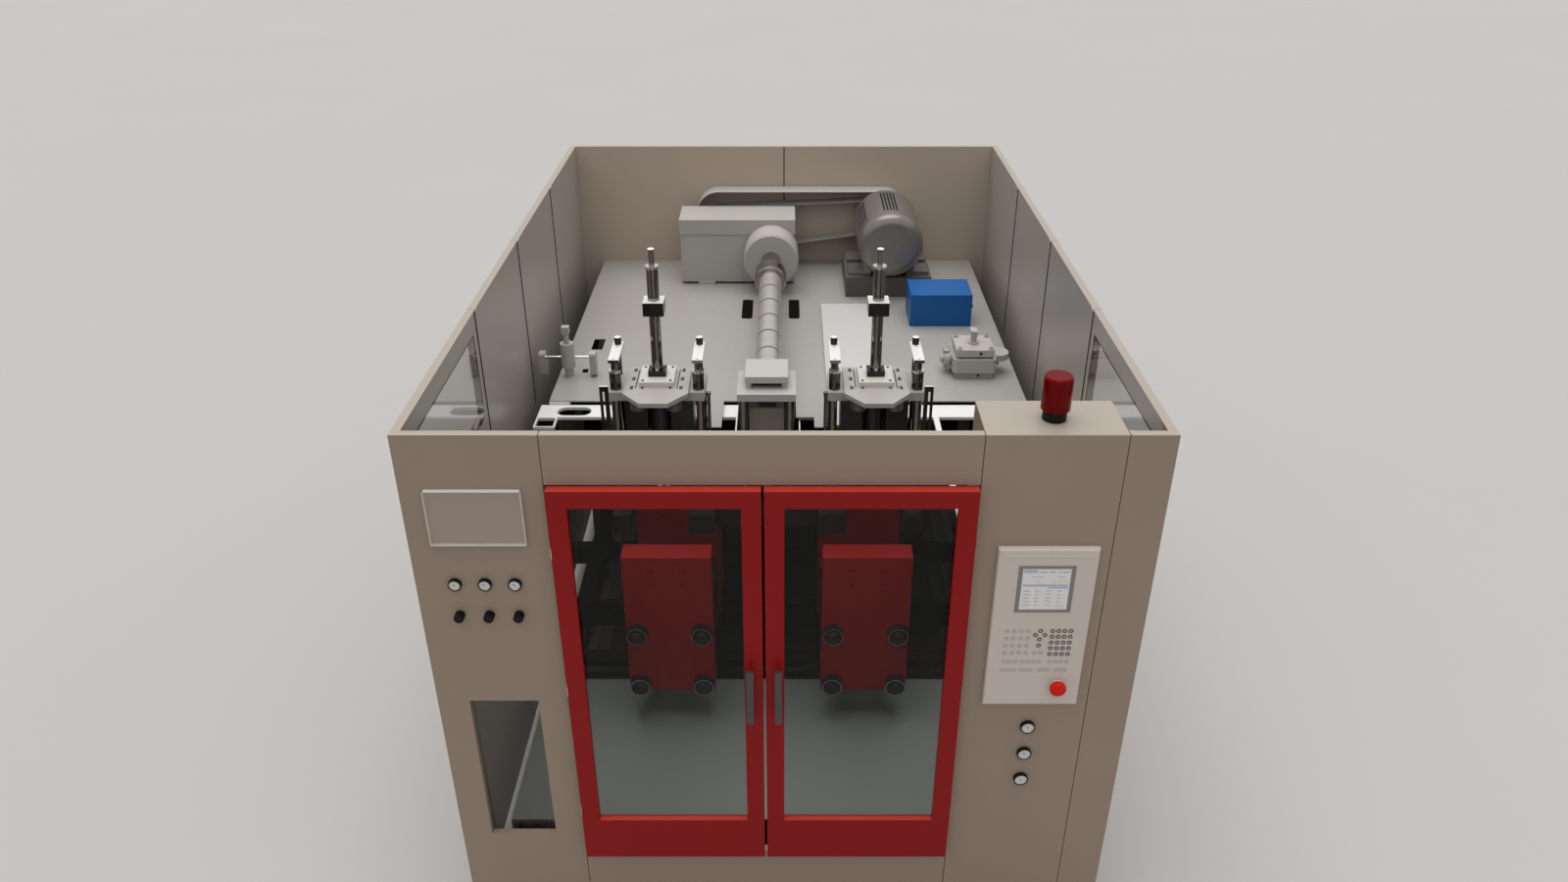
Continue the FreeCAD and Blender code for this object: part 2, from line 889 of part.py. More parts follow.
def front_panels():
    """The left panel with its window, the header over the doors, the plinth and the right panel."""
    depth = ("0", "panel_thickness")
    height = ("panel_bottom", "enclosure_top")
    left = block("left_sheet", ("-half_width", "opening_left - panel_seam"), depth, height)
    holes = [block("left_window_hole", FRONT_WINDOW_X, ("-1", "panel_thickness + 1"), FRONT_WINDOW_Z)]
    rebate_x = (FRONT_WINDOW_X[0] + " - pane_overlap", FRONT_WINDOW_X[1] + " + pane_overlap")
    rebate_z = (FRONT_WINDOW_Z[0] + " - pane_overlap", FRONT_WINDOW_Z[1] + " + pane_overlap")
    rebate_y = ("panel_thickness - pane_thickness", "panel_thickness + 1")
    holes.append(block("left_window_rebate", rebate_x, rebate_y, rebate_z))
    for k, x in enumerate(GAUGE_ROW):
        through = ("-1", "panel_thickness + 1")
        holes.append(rod("gauge_hole_%d" % k, "y", "gauge_stem_radius", through, (x, GAUGE_ROW_Z)))
        holes.append(
            rod("knob_hole_%d" % k, "y", "knob_stem_radius + running_gap", through, (x, KNOB_Z))
        )
    header_x = ("opening_left", "opening_right - panel_seam")
    header = joined(
        "header_sheet",
        block("header_skin", header_x, depth, ("enclosure_top - header_height", "enclosure_top")),
        block(
            "lintel",
            ("opening_left - lintel_depth", "opening_right"),
            ("panel_thickness", "panel_thickness + lintel_depth"),
            span("enclosure_top - header_height", "lintel_height"),
        ),
    )
    plinth = block("plinth_sheet", header_x, depth, ("panel_bottom", "plinth_top"))
    right = joined(
        "right_sheet",
        block("right_skin", ("cabinet_right + panel_seam", "half_width"), depth, height),
        block(
            "right_return",
            ("half_width - corner_return_width", "half_width"),
            ("panel_thickness", "corner_return"),
            height,
        ),
        block(
            "right_lap", ("cabinet_right", "cabinet_right + lap_half"),
            span("panel_thickness", "lap_thickness"), ("sill_top", "enclosure_top"),
        ),
    )
    node("front_panels", group("front_panels", less("left_panel", left, *holes), header, plinth, right))


def side_panels(side, sign, first_seam):
    """Four sheets down one side, the front one with a window near its top."""
    outer, inner = "%s * half_width" % sign, "%s * inner_half" % sign
    x = (outer, inner) if sign == "-1" else (inner, outer)
    beyond = (x[0] + " - 1", x[1] + " + 1")
    height = ("panel_bottom", "enclosure_top")
    seams = [first_seam, "side_seam_front", "side_seam_middle", "side_seam_rear", "enclosure_length"]
    sheets = []
    for k in range(4):
        end = seams[k + 1] if k == 3 else seams[k + 1] + " - panel_seam"
        sheet_piece = block("%s_sheet_%d" % (side, k), x, (seams[k], end), height)
        if k:
            sheet_piece = joined("%s_lapped_%d" % (side, k), sheet_piece, side_lap(side, sign, k, seams[k]))
        sheets.append(sheet_piece)
    top = "enclosure_top - side_window_drop"
    hole_y = ("side_window_front", "side_window_rear")
    hole_z = ("%s - side_window_height" % top, top)
    opening = block("%s_window_hole" % side, beyond, hole_y, hole_z)
    if sign == "-1":
        rebate_x = ("%s - pane_thickness" % x[1], beyond[1])
    else:
        rebate_x = (beyond[0], "%s + pane_thickness" % x[0])
    rebate = block(
        "%s_window_rebate" % side,
        rebate_x,
        ("side_window_front - pane_overlap", "side_window_rear + pane_overlap"),
        (hole_z[0] + " - pane_overlap", hole_z[1] + " + pane_overlap"),
    )
    sheets[0] = less("%s_window_panel" % side, sheets[0], opening, rebate)
    node("side_panels_" + side, group("side_panels_" + side, *sheets))


def side_lap(side, sign, k, seam):
    """The strip inside a side sheet that closes the seam before it."""
    near, far = "%s * inner_half" % sign, "%s * (inner_half - lap_thickness)" % sign
    x = (near, far) if sign == "-1" else (far, near)
    y = ("%s - lap_half" % seam, "%s + lap_half" % seam)
    return block("%s_lap_%d" % (side, k), x, y, ("sill_top", "enclosure_top"))


def rear_panels():
    """Two sheets, the right one with a lapping strip above and below the deck."""
    height = ("panel_bottom", "enclosure_top")
    depth = ("enclosure_length - panel_thickness", "enclosure_length")
    left = block("rear_sheet_left", ("-inner_half", "-panel_seam / 2"), depth, height)
    right = block("rear_sheet_right", ("panel_seam / 2", "inner_half"), depth, height)
    lap_y = ("rear_face - lap_thickness", "rear_face")
    laps = [
        block("rear_lap_%d" % k, ("-lap_half", "lap_half"), lap_y, z)
        for k, z in enumerate((("sill_top", "frame_top - frame_tube"), ("deck_top", "enclosure_top")))
    ]
    node("rear_panels", group("rear_panels", left, joined("rear_lapped", right, *laps)))


def window_panes():
    """The fixed panes, each seated in the rebate behind its window."""
    grow = "pane_overlap"
    front = block(
        "front_pane",
        ("%s - %s" % (FRONT_WINDOW_X[0], grow), "%s + %s" % (FRONT_WINDOW_X[1], grow)),
        ("panel_thickness - pane_thickness", "panel_thickness"),
        ("%s - %s" % (FRONT_WINDOW_Z[0], grow), "%s + %s" % (FRONT_WINDOW_Z[1], grow)),
    )
    top = "enclosure_top - side_window_drop"
    y = ("side_window_front - pane_overlap", "side_window_rear + pane_overlap")
    z = ("%s - side_window_height - pane_overlap" % top, "%s + pane_overlap" % top)
    left = block("left_pane", ("-inner_half - pane_thickness", "-inner_half"), y, z)
    right = block("right_pane", ("inner_half", "inner_half + pane_thickness"), y, z)
    node("window_panes", group("window_panes", front, left, right))


def control_cabinet():
    """The deep column beside the doors, which stands on the sill behind a skirt."""
    x = ("opening_right", "cabinet_right")
    column = joined(
        "cabinet_block",
        block("cabinet_column", x, ("0", "cabinet_depth"), ("sill_top", "enclosure_top")),
        block("cabinet_skirt", x, ("0", "panel_thickness"), ("panel_bottom", "sill_top")),
    )
    holes = [
        rod("gauge_hole_%d" % k, "y", "gauge_stem_radius", ("-1", "panel_thickness"), ("gauge_column_x", z))
        for k, z in enumerate(GAUGE_COLUMN)
    ]
    node("control_cabinet", less("control_cabinet", column, *holes))


# ---- doors ----------------------------------------------------------------------------------

def door(side):
    """A framed pane hung at its outer edge, with a bar handle on its meeting stile."""
    left = side == "left"
    inner = "middle_x - door_gap / 2" if left else "middle_x + door_gap / 2"
    outer = inner + (" - door_width" if left else " + door_width")
    x = (outer, inner) if left else (inner, outer)
    y = ("-door_proud", "door_inset")
    z = ("door_bottom", "door_top")
    hole_x = (x[0] + " + door_stile", x[1] + " - door_stile")
    hole_z = (z[0] + " + door_bottom_rail", z[1] + " - door_top_rail")
    lap_x = (hole_x[0] + " - pane_overlap", hole_x[1] + " + pane_overlap")
    lap_z = (hole_z[0] + " - pane_overlap", hole_z[1] + " + pane_overlap")

    frame = new_body("door_body_" + side)
    face = new_sketch(frame, "door_face_" + side, "XZ_Plane")
    rectangle(face, x, z)
    rectangle(face, hole_x, hole_z)
    pad(frame, face, "door_pad_" + side, "door_proud + door_inset")
    lap = new_sketch(frame, "door_lap_" + side, "XZ_Plane")
    rectangle(lap, lap_x, lap_z)
    pocket(frame, lap, "door_rebate_" + side, "door_inset + door_pane_depth", reverse=True)
    put(frame, "0", "door_inset", "0")
    pieces = [frame] + [door_knuckle(side, k, outer) for k in range(3)]
    node("door_frame_" + side, joined("door_frame_" + side, *pieces))
    pane_y = span("-door_pane_depth", "pane_thickness")
    node("door_glass_" + side, block("door_glass_" + side, lap_x, pane_y, lap_z))

    centre = inner + (" - handle_offset + door_gap / 2" if left else " + handle_offset - door_gap / 2")
    top = "enclosure_top - handle_drop"
    bar_z = ("%s - handle_length" % top, top)
    bar = block(
        "handle_bar_" + side, around(centre, "handle_width / 2"), span("-handle_reach", "handle_depth"), bar_z
    )
    posts = [
        rod(
            "handle_post_%s_%d" % (side, k), "y", "handle_post / 2",
            ("-handle_reach + handle_depth / 2", "-door_proud"), (centre, height),
        )
        for k, height in enumerate((bar_z[0] + " + handle_post_inset", bar_z[1] + " - handle_post_inset"))
    ]
    node("door_handle_" + side, joined("door_handle_" + side, bar, *posts))


def hinge_line(side):
    """X of the hinge pins: half way across the gap between the door and the panel beside it."""
    if side == "left":
        return "middle_x - door_gap / 2 - door_width - hinge_radius"
    return "middle_x + door_gap / 2 + door_width + hinge_radius"


HINGE_HEIGHTS = [
    "(door_bottom + door_top) / 2 + (%d) * hinge_spread" % k for k in (-1, 0, 1)
]


def door_knuckle(side, k, outer):
    """The door's half of a butt hinge: the upper knuckle, with a leaf let into the door's edge."""
    z = span(HINGE_HEIGHTS[k], "hinge_knuckle")
    x = hinge_line(side)
    barrel = rod("door_barrel_%s_%d" % (side, k), "z", "hinge_radius", z, (x, "-hinge_forward"))
    web_x = (x, outer) if side == "left" else (outer, x)
    web = block("door_web_%s_%d" % (side, k), web_x, around("-hinge_forward", "hinge_leaf / 2"), z)
    bore = rod(
        "door_bore_%s_%d" % (side, k), "z", "hinge_pin_radius + hinge_running_gap",
        (z[0] + " - 1", z[1] + " + 1"), (x, "-hinge_forward"),
    )
    return less("door_knuckle_%s_%d" % (side, k), joined("door_leaf_%s_%d" % (side, k), barrel, web), bore)


def door_hinges():
    """The fixed halves: lower knuckle, pin, and a leaf on the panel's edge."""
    pieces = []
    for side in ("left", "right"):
        x = hinge_line(side)
        edge = "opening_left - panel_seam" if side == "left" else "opening_right"
        for k, middle in enumerate(HINGE_HEIGHTS):
            z = ("%s - hinge_end_gap - hinge_knuckle" % middle, "%s - hinge_end_gap" % middle)
            barrel = rod("fixed_barrel_%s_%d" % (side, k), "z", "hinge_radius", z, (x, "-hinge_forward"))
            pin_z = (z[0], "%s + hinge_knuckle" % middle)
            pin = rod("hinge_pin_%s_%d" % (side, k), "z", "hinge_pin_radius", pin_z, (x, "-hinge_forward"))
            leaf_x = (edge, "%s + hinge_leaf" % edge) if side == "left" else ("%s - hinge_leaf" % edge, edge)
            leaf = block("fixed_leaf_%s_%d" % (side, k), leaf_x, ("-hinge_forward", "hinge_leaf_depth"), z)
            web_x = (leaf_x[0], x) if side == "left" else (x, leaf_x[1])
            web = block(
                "fixed_web_%s_%d" % (side, k), web_x, ("-hinge_forward", "-hinge_forward + hinge_leaf"), z
            )
            pieces.append(joined("fixed_hinge_%s_%d" % (side, k), barrel, pin, leaf, web))
    node("door_hinges", group("door_hinges", *pieces))


# ---- operator panel, gauges, knobs and beacon -----------------------------------------------

def operator_panel():
    """A padded panel with a recess for the screen and a hole for the stop button."""
    body = new_body("hmi_body")
    face = new_sketch(body, "hmi_face", "XZ_Plane")
    rectangle(face, ("0", "hmi_width"), ("-hmi_height", "0"))
    pad(body, face, "hmi_pad", "hmi_thickness")
    front = size("hmi_thickness")
    rounded(
        body, "hmi_edges", "hmi_edge_radius",
        lambda e: all(abs(abs(v.Y) - front) < 0.01 for v in e.Vertexes),
    )
    screen = new_sketch(body, "screen_recess", "XZ_Plane")
    rectangle(
        screen, span("screen_left", "screen_width"), ("-screen_drop - screen_height", "-screen_drop")
    )
    screen.AttachmentOffset = FreeCAD.Placement()
    screen.setExpression("AttachmentOffset.Base.z", formula("hmi_thickness"))
    pocket(body, screen, "screen_pocket", "screen_sink")
    stop = new_sketch(body, "stop_hole", "XZ_Plane")
    circle(stop, "estop_stem_radius + running_gap", "estop_left", "-estop_drop")
    stop.setExpression("AttachmentOffset.Base.z", formula("hmi_thickness"))
    pocket(body, stop, "stop_pocket")
    put(body, "hmi_left", "0", "enclosure_top - hmi_drop")
    collar_x = "hmi_left + estop_left"
    collar_z = "enclosure_top - hmi_drop - estop_drop"
    ring_y = ("-hmi_thickness - estop_collar", "-hmi_thickness")
    ring = less(
        "stop_collar",
        rod("stop_ring", "y", "estop_collar_radius", ring_y, (collar_x, collar_z)),
        rod(
            "stop_ring_bore", "y", "estop_stem_radius + running_gap",
            (ring_y[0] + " - 1", ring_y[1] + " + 1"), (collar_x, collar_z),
        ),
    )
    node("hmi_panel", group("hmi_panel", body, ring))
    screen_y = ("-hmi_thickness", "-hmi_thickness + screen_sink")
    x = span("hmi_left + screen_left", "screen_width")
    z = span("enclosure_top - hmi_drop - screen_drop - screen_height", "screen_height")
    node("hmi_screen", block("hmi_screen", x, screen_y, z))


def stop_button():
    """A mushroom head on its stem, turned as one piece."""
    gap = "estop_travel + estop_clearance"
    body = turned(
        "estop_body",
        ("0", "-hmi_thickness + estop_travel + estop_tail"),
        ("estop_stem_radius", "-hmi_thickness + estop_travel + estop_tail"),
        ("estop_stem_radius", "estop_collar + %s" % gap),
        ("estop_radius", "estop_collar + %s" % gap),
        ("estop_radius", "estop_collar + %s + estop_thickness" % gap),
        ("estop_radius - estop_edge", "estop_collar + %s + estop_thickness + estop_edge" % gap),
        ("0", "estop_collar + %s + estop_thickness + estop_edge + estop_crown" % gap),
    )
    put(
        body, "hmi_left + estop_left", "-hmi_thickness", "enclosure_top - hmi_drop - estop_drop",
        turn=TOWARDS_FRONT,
    )
    node("estop_button", body)


def gauge(name, radius, x, z):
    """A round case with a raised bezel, a sunk dial, its pointer and the stem behind."""
    case = turned(
        name + "_case",
        ("0", "-panel_thickness"),
        ("gauge_stem_radius", "-panel_thickness"),
        ("gauge_stem_radius", "0"),
        (radius, "0"),
        (radius, "gauge_depth - gauge_edge"),
        (radius + " - gauge_edge", "gauge_depth"),
        (radius + " - gauge_bezel", "gauge_depth"),
        (radius + " - gauge_bezel - gauge_slope", "gauge_depth - gauge_dial_sink"),
        ("0", "gauge_depth - gauge_dial_sink"),
    )
    return put(case, x, "0", z, turn=TOWARDS_FRONT)


def pressure_gauges():
    row = [
        gauge("gauge_row_%d" % k, "gauge_row_radius", x, GAUGE_ROW_Z) for k, x in enumerate(GAUGE_ROW)
    ]
    column = [
        gauge("gauge_column_%d" % k, "gauge_column_radius", "gauge_column_x", z)
        for k, z in enumerate(GAUGE_COLUMN)
    ]
    node("pressure_gauges", group("pressure_gauges", *(row + column)))


def regulator_knobs():
    """Fluted knobs, each on a stem through the panel."""
    for k, x in enumerate(GAUGE_ROW):
        name = "regulator_knob_%d" % (k + 1)
        body = turned(
            name + "_body",
            ("0", "-panel_thickness"),
            ("knob_stem_radius", "-panel_thickness"),
            ("knob_stem_radius", "knob_clearance"),
            ("knob_radius", "knob_clearance"),
            ("knob_radius", "knob_depth - knob_edge"),
            ("knob_radius - knob_edge", "knob_depth"),
            ("0", "knob_depth"),
        )
        flute = new_sketch(body, name + "_flute", "XY_Plane")
        circle(flute, "knob_flute_radius", "knob_radius", "0")
        flute.setExpression("AttachmentOffset.Base.z", formula("knob_depth"))
        notch = pocket(body, flute, name + "_notch", "knob_depth - knob_flute_end")
        pattern = body.newObject("PartDesign::PolarPattern", name + "_flutes")
        pattern.Originals = [notch]
        pattern.Axis = (flute, ["N_Axis"])
        pattern.Angle = 360
        bind(pattern, "Occurrences", "knob_flutes")
        body.Tip = pattern
        put(body, x, "0", KNOB_Z, turn=TOWARDS_FRONT)
        node(name, body)


def beacon():
    """A round base on the cabinet and a hollow ribbed lens over it."""
    base = turned(
        "beacon_base_body",
        ("0", "0"),
        ("beacon_base_radius", "0"),
        ("beacon_base_radius", "beacon_base_height - beacon_base_edge"),
        ("beacon_base_radius - beacon_base_edge", "beacon_base_height"),
        ("0", "beacon_base_height"),
    )
    node("beacon_base", put(base, "beacon_x", "beacon_y", "enclosure_top"))
    wall = "beacon_lens_wall"
    lens = turned(
        "beacon_lens_body",
        ("beacon_lens_seat", "0"),
        ("beacon_lens_radius", "0"),
        ("beacon_lens_radius", "beacon_lens_height - beacon_lens_edge"),
        ("beacon_lens_radius - beacon_lens_edge", "beacon_lens_height"),
        ("0", "beacon_lens_height"),
        ("0", "beacon_lens_height - %s" % wall),
        ("beacon_lens_radius - beacon_lens_edge - %s" % wall, "beacon_lens_height - %s" % wall),
        ("beacon_lens_radius - beacon_lens_edge - %s" % wall, wall),
        ("beacon_lens_seat", wall),
    )
    node("beacon_lens", put(lens, "beacon_x", "beacon_y", "enclosure_top + beacon_base_height"))


# ---- welded frame, tray, feet and deck ------------------------------------------------------

def beam_centres(offset):
    return ["axis_x - %s" % offset, "axis_x + %s" % offset]


def machine_frame():
    """Square tubes butted together: sills, uprights, deck rails and the bearers under the stations."""
    tube = "frame_tube"
    low = ("panel_bottom", "sill_top")
    high = ("frame_top - frame_tube", "frame_top")
    level = ("bearer_top - frame_tube", "bearer_top")
    sides = (("-frame_half_width", "-frame_half_width + frame_tube"),
             ("frame_half_width - frame_tube", "frame_half_width"))
    rails = (("deck_left", "deck_left + frame_tube"), ("deck_right - frame_tube", "deck_right"))
    inner = ("-frame_half_width + frame_tube", "frame_half_width - frame_tube")
    between_rails = ("deck_left + frame_tube", "deck_right - frame_tube")
    full = ("-inner_half", "inner_half")
    pieces = [block("front_sill", full, span("panel_thickness", tube), low)]
    crossings = [("mid_sill_0", "frame_front"), ("mid_sill_1", "frame_middle"),
                 ("rear_sill", "frame_rear - frame_tube")]
    for name, y in crossings:
        pieces.append(block(name, full, span(y, tube), low))
    starts = ["panel_thickness + frame_tube", "plate_front", "frame_middle + frame_tube"]
    ends = ["frame_front", "frame_middle", "frame_rear - frame_tube"]
    for s, x in enumerate(sides):
        for k in range(3):
            pieces.append(block("side_sill_%d_%d" % (s, k), x, (starts[k], ends[k]), low))
        pieces.append(open_upright("open_upright_%d" % s, x))
        for k, y in enumerate(("frame_middle", "frame_rear - frame_tube")):
            pieces.append(block("upright_%d_%d" % (s, k), rails[s], span(y, tube), ("sill_top", high[0])))
        pieces.append(block("side_rail_%d" % s, rails[s], ("plate_front + cross_plate_depth", "frame_rear"), high))
    pieces.append(block("front_rail", between_rails, span("deck_front + front_rail_setback", tube), high))
    pieces.append(block("rear_rail", between_rails, ("frame_rear - frame_tube", "frame_rear"), high))
    pieces.append(block("station_rail", inner, span("frame_front", tube), level))
    ahead = ("beam_front", "frame_front")
    for k, x in enumerate(beam_centres("outer_beam_offset")):
        pieces.append(block("outer_bearer_%d" % k, around(x, "beam_width / 2"), ahead, level))
    for k, x in enumerate(beam_centres("inner_beam_offset")):
        pieces.append(block("inner_bearer_%d" % k, around(x, "inner_beam_width / 2"), ahead, level))
    across = ("-frame_half_width", "frame_half_width")
    for k, y in enumerate(("bed_beam_front", "bed_beam_rear")):
        pieces.append(block("bed_beam_%d" % k, across, span(y, tube), ("sill_top", "bed_top")))
    head_x = ("axis_x - inner_beam_offset + inner_beam_width / 2",
              "axis_x + inner_beam_offset - inner_beam_width / 2")
    for k, y in enumerate(("head_bearer_front", "head_bearer_rear")):
        pieces.append(block("head_bearer_%d" % k, head_x, span(y, "head_bearer_depth"), level))
    strut_z = ("plate_top - frame_tube", "plate_top")
    strut_x = span("strut_left", "strut_width")
    pieces.append(block("cabinet_strut", strut_x, ("cabinet_depth", "plate_front"), strut_z))
    node("machine_frame", group("machine_frame", *(pieces + cross_plates())))


def open_upright(name, x):
    """A front upright, cut open at the top so that the inside of the tube shows."""
    y = span("frame_front", "frame_tube")
    well = block(
        name + "_mouth", (x[0] + " + mouth_wall", x[1] + " - mouth_wall"),
        (y[0] + " + mouth_wall", y[1] + " - mouth_wall"), ("plate_top - mouth_depth", "plate_top + 1"),
    )
    return less(name, block(name + "_tube", x, y, ("sill_top", "plate_top")), well)


def cross_plates():
    """The machined plates behind the front uprights, with a rib at each side of the break between them."""
    body = new_body("cross_plate_left")
    sketch = new_sketch(body, "cross_plate_outline", "XY_Plane")
    broken = "axis_x - plate_break_half"
    rectangle(sketch, ("-frame_half_width", broken), ("0", "cross_plate_depth"))
    pad(body, sketch, "cross_plate_pad", "cross_plate_thickness")
    hole = new_sketch(body, "cross_plate_hole", "XY_Plane")
    reach = "plate_slot_width / 2"
    start = "-frame_half_width + plate_slot_inset + plate_slot_width / 2"
    end = "%s + plate_slot_length - plate_slot_width" % start
    slot(hole, (start, "plate_slot_middle"), (end, "plate_slot_middle"), reach, True)
    pocket(body, hole, "cross_plate_cut", reverse=True)
    put(body, "0", "plate_front", "plate_top - cross_plate_thickness")
    y = span("plate_front", "cross_plate_depth")
    z = ("plate_top - cross_plate_thickness", "plate_top")
    right = block("cross_plate_right", ("axis_x + plate_break_half", "frame_half_width"), y, z)
    ribs = []
    places = (("%s - break_rib" % broken, broken), span("axis_x + plate_break_half", "break_rib"))
    for k, x in enumerate(places):
        rib_y = ("break_rib_front", "plate_front")
        ribs.append(block("break_rib_%d" % k, x, rib_y, ("bearer_top", "plate_top")))
    return [body, right] + ribs


def drip_tray():
    """A folded cover under the clamps, standing on the side sills by its skirts."""
    x = ("-frame_half_width", "frame_half_width")
    y = ("tray_front", "tray_rear")
    z = ("sill_top", "tray_top")
    hollow = block(
        "tray_hollow", (x[0] + " + tray_sheet", x[1] + " - tray_sheet"), ("tray_front - 1", "tray_rear + 1"),
        ("sill_top - 1", "tray_top - tray_sheet"),
    )
    node("drip_tray", less("drip_tray", block("tray_blank", x, y, z), hollow))


def levelling_feet():
    """Turned pads on studs under the sills."""
    feet = []
    rows = ["panel_thickness + frame_tube / 2", "frame_front + frame_tube / 2",
            "frame_middle + frame_tube / 2", "frame_rear - frame_tube / 2"]
    for s, x in enumerate(("-frame_half_width + frame_tube / 2", "frame_half_width - frame_tube / 2")):
        for k, y in enumerate(rows):
            foot = turned(
                "foot_%d_%d" % (s, k),
                ("0", "0"), ("foot_radius", "0"), ("foot_radius", "foot_pad / 2"),
                ("foot_boss_radius", "foot_pad"), ("foot_stud_radius", "foot_pad"),
                ("foot_stud_radius", "panel_bottom"), ("0", "panel_bottom"),
            )
            feet.append(put(foot, x, y, "0"))
    node("levelling_feet", group("levelling_feet", *feet))


def deck_plate():
    """The deck with its tongues, slots and holes, and the raised cover beside the barrel."""
    body = new_body("deck_body")
    sketch = new_sketch(body, "deck_outline", "XY_Plane")
    back = "frame_rear"
    inner_left = "tongue_inner_left"
    outline(
        sketch,
        ("deck_left", "deck_front"),
        ("tongue_left", "deck_front"),
        ("tongue_left", "tongue_front"),
        ("tongue_left + tongue_width", "tongue_front"),
        ("tongue_left + tongue_width", "deck_front"),
        (inner_left, "deck_front"),
        (inner_left, "tongue_inner_front"),
        (inner_left + " + tongue_inner_width", "tongue_inner_front"),
        (inner_left + " + tongue_inner_width", "tongue_front"),
        ("tongue_right + tongue_right_width", "tongue_front"),
        ("tongue_right + tongue_right_width", "deck_front"),
        ("deck_right", "deck_front"),
        ("deck_right", back),
        ("deck_left", back),
    )
    pad(body, sketch, "deck_pad", "deck_thickness")
    holes = new_sketch(body, "deck_holes", "XY_Plane")
    rectangle(holes, span("deck_hole_left", "deck_hole_width"), span("deck_hole_front", "deck_hole_length"))
    rectangle(holes, span("small_hole_left", "small_hole_width"), span("small_hole_front", "small_hole_length"))
    for sign in ("-", "+"):
        centre = "axis_x %s deck_slot_offset" % sign
        rectangle(holes, around(centre, "deck_slot_width / 2"), span("deck_slot_front", "deck_slot_length"))
    pocket(body, holes, "deck_cuts", reverse=True)
    near = worth("deck_slot_front") - 1
    far = worth("deck_slot_front + deck_slot_length") + 1
    rounded(
        body, "deck_slot_corners", "deck_slot_corner",
        lambda e: abs(e.Vertexes[0].Z - e.Vertexes[-1].Z) > 1 and near < e.Vertexes[0].Y < far,
    )
    put(body, "0", "0", "frame_top")
    cover_x = span("cover_left + panel_seam", "cover_width")
    cover_top = "deck_top + cover_height"
    cover = joined(
        "trunk_cover",
        block("trunk_cover_rear", cover_x, ("deck_front", "cover_rear"), ("deck_top", cover_top)),
        block("trunk_cover_front", cover_x, ("cover_front", "deck_front"), ("frame_top", cover_top)),
    )
    node("deck_plate", group("deck_plate", body, cover))


# ---- extruder drive -------------------------------------------------------------------------

def gearbox():
    """A cast case with a skirt, feet and a bolted lid."""
    x = ("gearbox_left", "gearbox_right")
    y = ("gearbox_front", "gearbox_rear")
    floor = "deck_top + gearbox_foot"
    lip = "gearbox_skirt_lip"
    skirt = block(
        "gearbox_skirt", (x[0] + " - " + lip, x[1] + " + " + lip), (y[0] + " - " + lip, y[1]),
        span(floor, "gearbox_skirt_height"),
    )
    case = block("gearbox_case", x, y, span(floor, "gearbox_body_height"))
    feet = [
        block(
            "gearbox_foot_%d" % k, span(left, "gearbox_foot_length"),
            ("gearbox_front - gearbox_foot_reach", "gearbox_rear"), ("deck_top", floor),
        )
        for k, left in enumerate(("gearbox_left + gearbox_foot_length", "gearbox_right - 2 * gearbox_foot_length"))
    ]
    seat = "%s + gearbox_body_height" % floor
    edge = "gearbox_lid_lip"
    lid = block(
        "gearbox_lid", (x[0] + " - " + edge, x[1] + " + " + edge), (y[0] + " - " + edge, y[1]),
        span(seat, "gearbox_lid_height"),
    )
    body = joined("gearbox_casting", case, skirt, *feet)
    node("gearbox_housing", group("gearbox_housing", body, lid))


def thrust_housing():
    """The round bearing housing on the gearbox front, bored for the neck of the barrel."""
    face = "gearbox_front - thrust_front - gearbox_skirt_lip"
    body = turned(
        "thrust_body",
        ("neck_radius", "0"),
        ("thrust_radius", "0"),
        ("thrust_radius", "%s - thrust_edge" % face),
        ("thrust_radius - thrust_edge", face),
        ("neck_radius", face),
    )
    put(body, "axis_x", "gearbox_front - gearbox_lid_lip", "screw_z", turn=TOWARDS_FRONT)
    node("thrust_housing", body)


def extruder_barrel():
    """The bored barrel: a neck in the thrust housing, a collar with a port, and a nose at the head."""
    bore = "barrel_bore_radius"
    start = "gearbox_front - gearbox_lid_lip"
    body = turned(
        "barrel_body",
        (bore, "%s - %s" % (start, "screw_rear")),
        ("neck_radius", "%s - screw_rear" % start),
        ("neck_radius", "%s - collar_rear" % start),
        ("collar_radius - collar_edge", "%s - collar_rear" % start),
        ("collar_radius", "%s - collar_rear + collar_edge" % start),
        ("collar_radius", "%s - barrel_start - collar_edge" % start),
        ("collar_radius - collar_edge", "%s - barrel_start" % start),
        ("barrel_radius", "%s - barrel_start" % start),
        ("barrel_radius", "%s - barrel_front" % start),
        ("barrel_nose_radius", "%s - barrel_front" % start),
        ("barrel_nose_radius", "%s - head_rear" % start),
        ("6", "%s - head_rear" % start),
        ("6", "%s - barrel_front" % start),
        (bore, "%s - screw_front" % start),
    )
    put(body, "axis_x", start, "screw_z", turn=TOWARDS_FRONT)
    port = rod(
        "collar_port", "z", "port_radius", ("screw_z + port_floor", "screw_z + collar_radius + 1"),
        ("axis_x + port_offset", "port_y"),
    )
    node("extruder_barrel", less("extruder_barrel", body, port))


def heater_bands():
    """Grooved clamp-on bands, turned once and repeated along the barrel."""
    bands = []
    for k in range(int(size("heater_count"))):
        name = "heater_band_%d" % k
        mid = "heater_length / 2"
        groove = "heater_groove / 2"
        body = turned(
            name,
            ("barrel_radius", "0"),
            ("heater_radius", "0"),
            ("heater_radius", "%s - %s" % (mid, groove)),
            ("heater_radius - heater_groove", mid),
            ("heater_radius", "%s + %s" % (mid, groove)),
            ("heater_radius", "heater_length"),
            ("barrel_radius", "heater_length"),
        )
        rear = "heater_first - %d * heater_pitch + heater_length" % k
        bands.append(put(body, "axis_x", rear, "screw_z", turn=TOWARDS_FRONT))
    node("heater_bands", group("heater_bands", *bands))


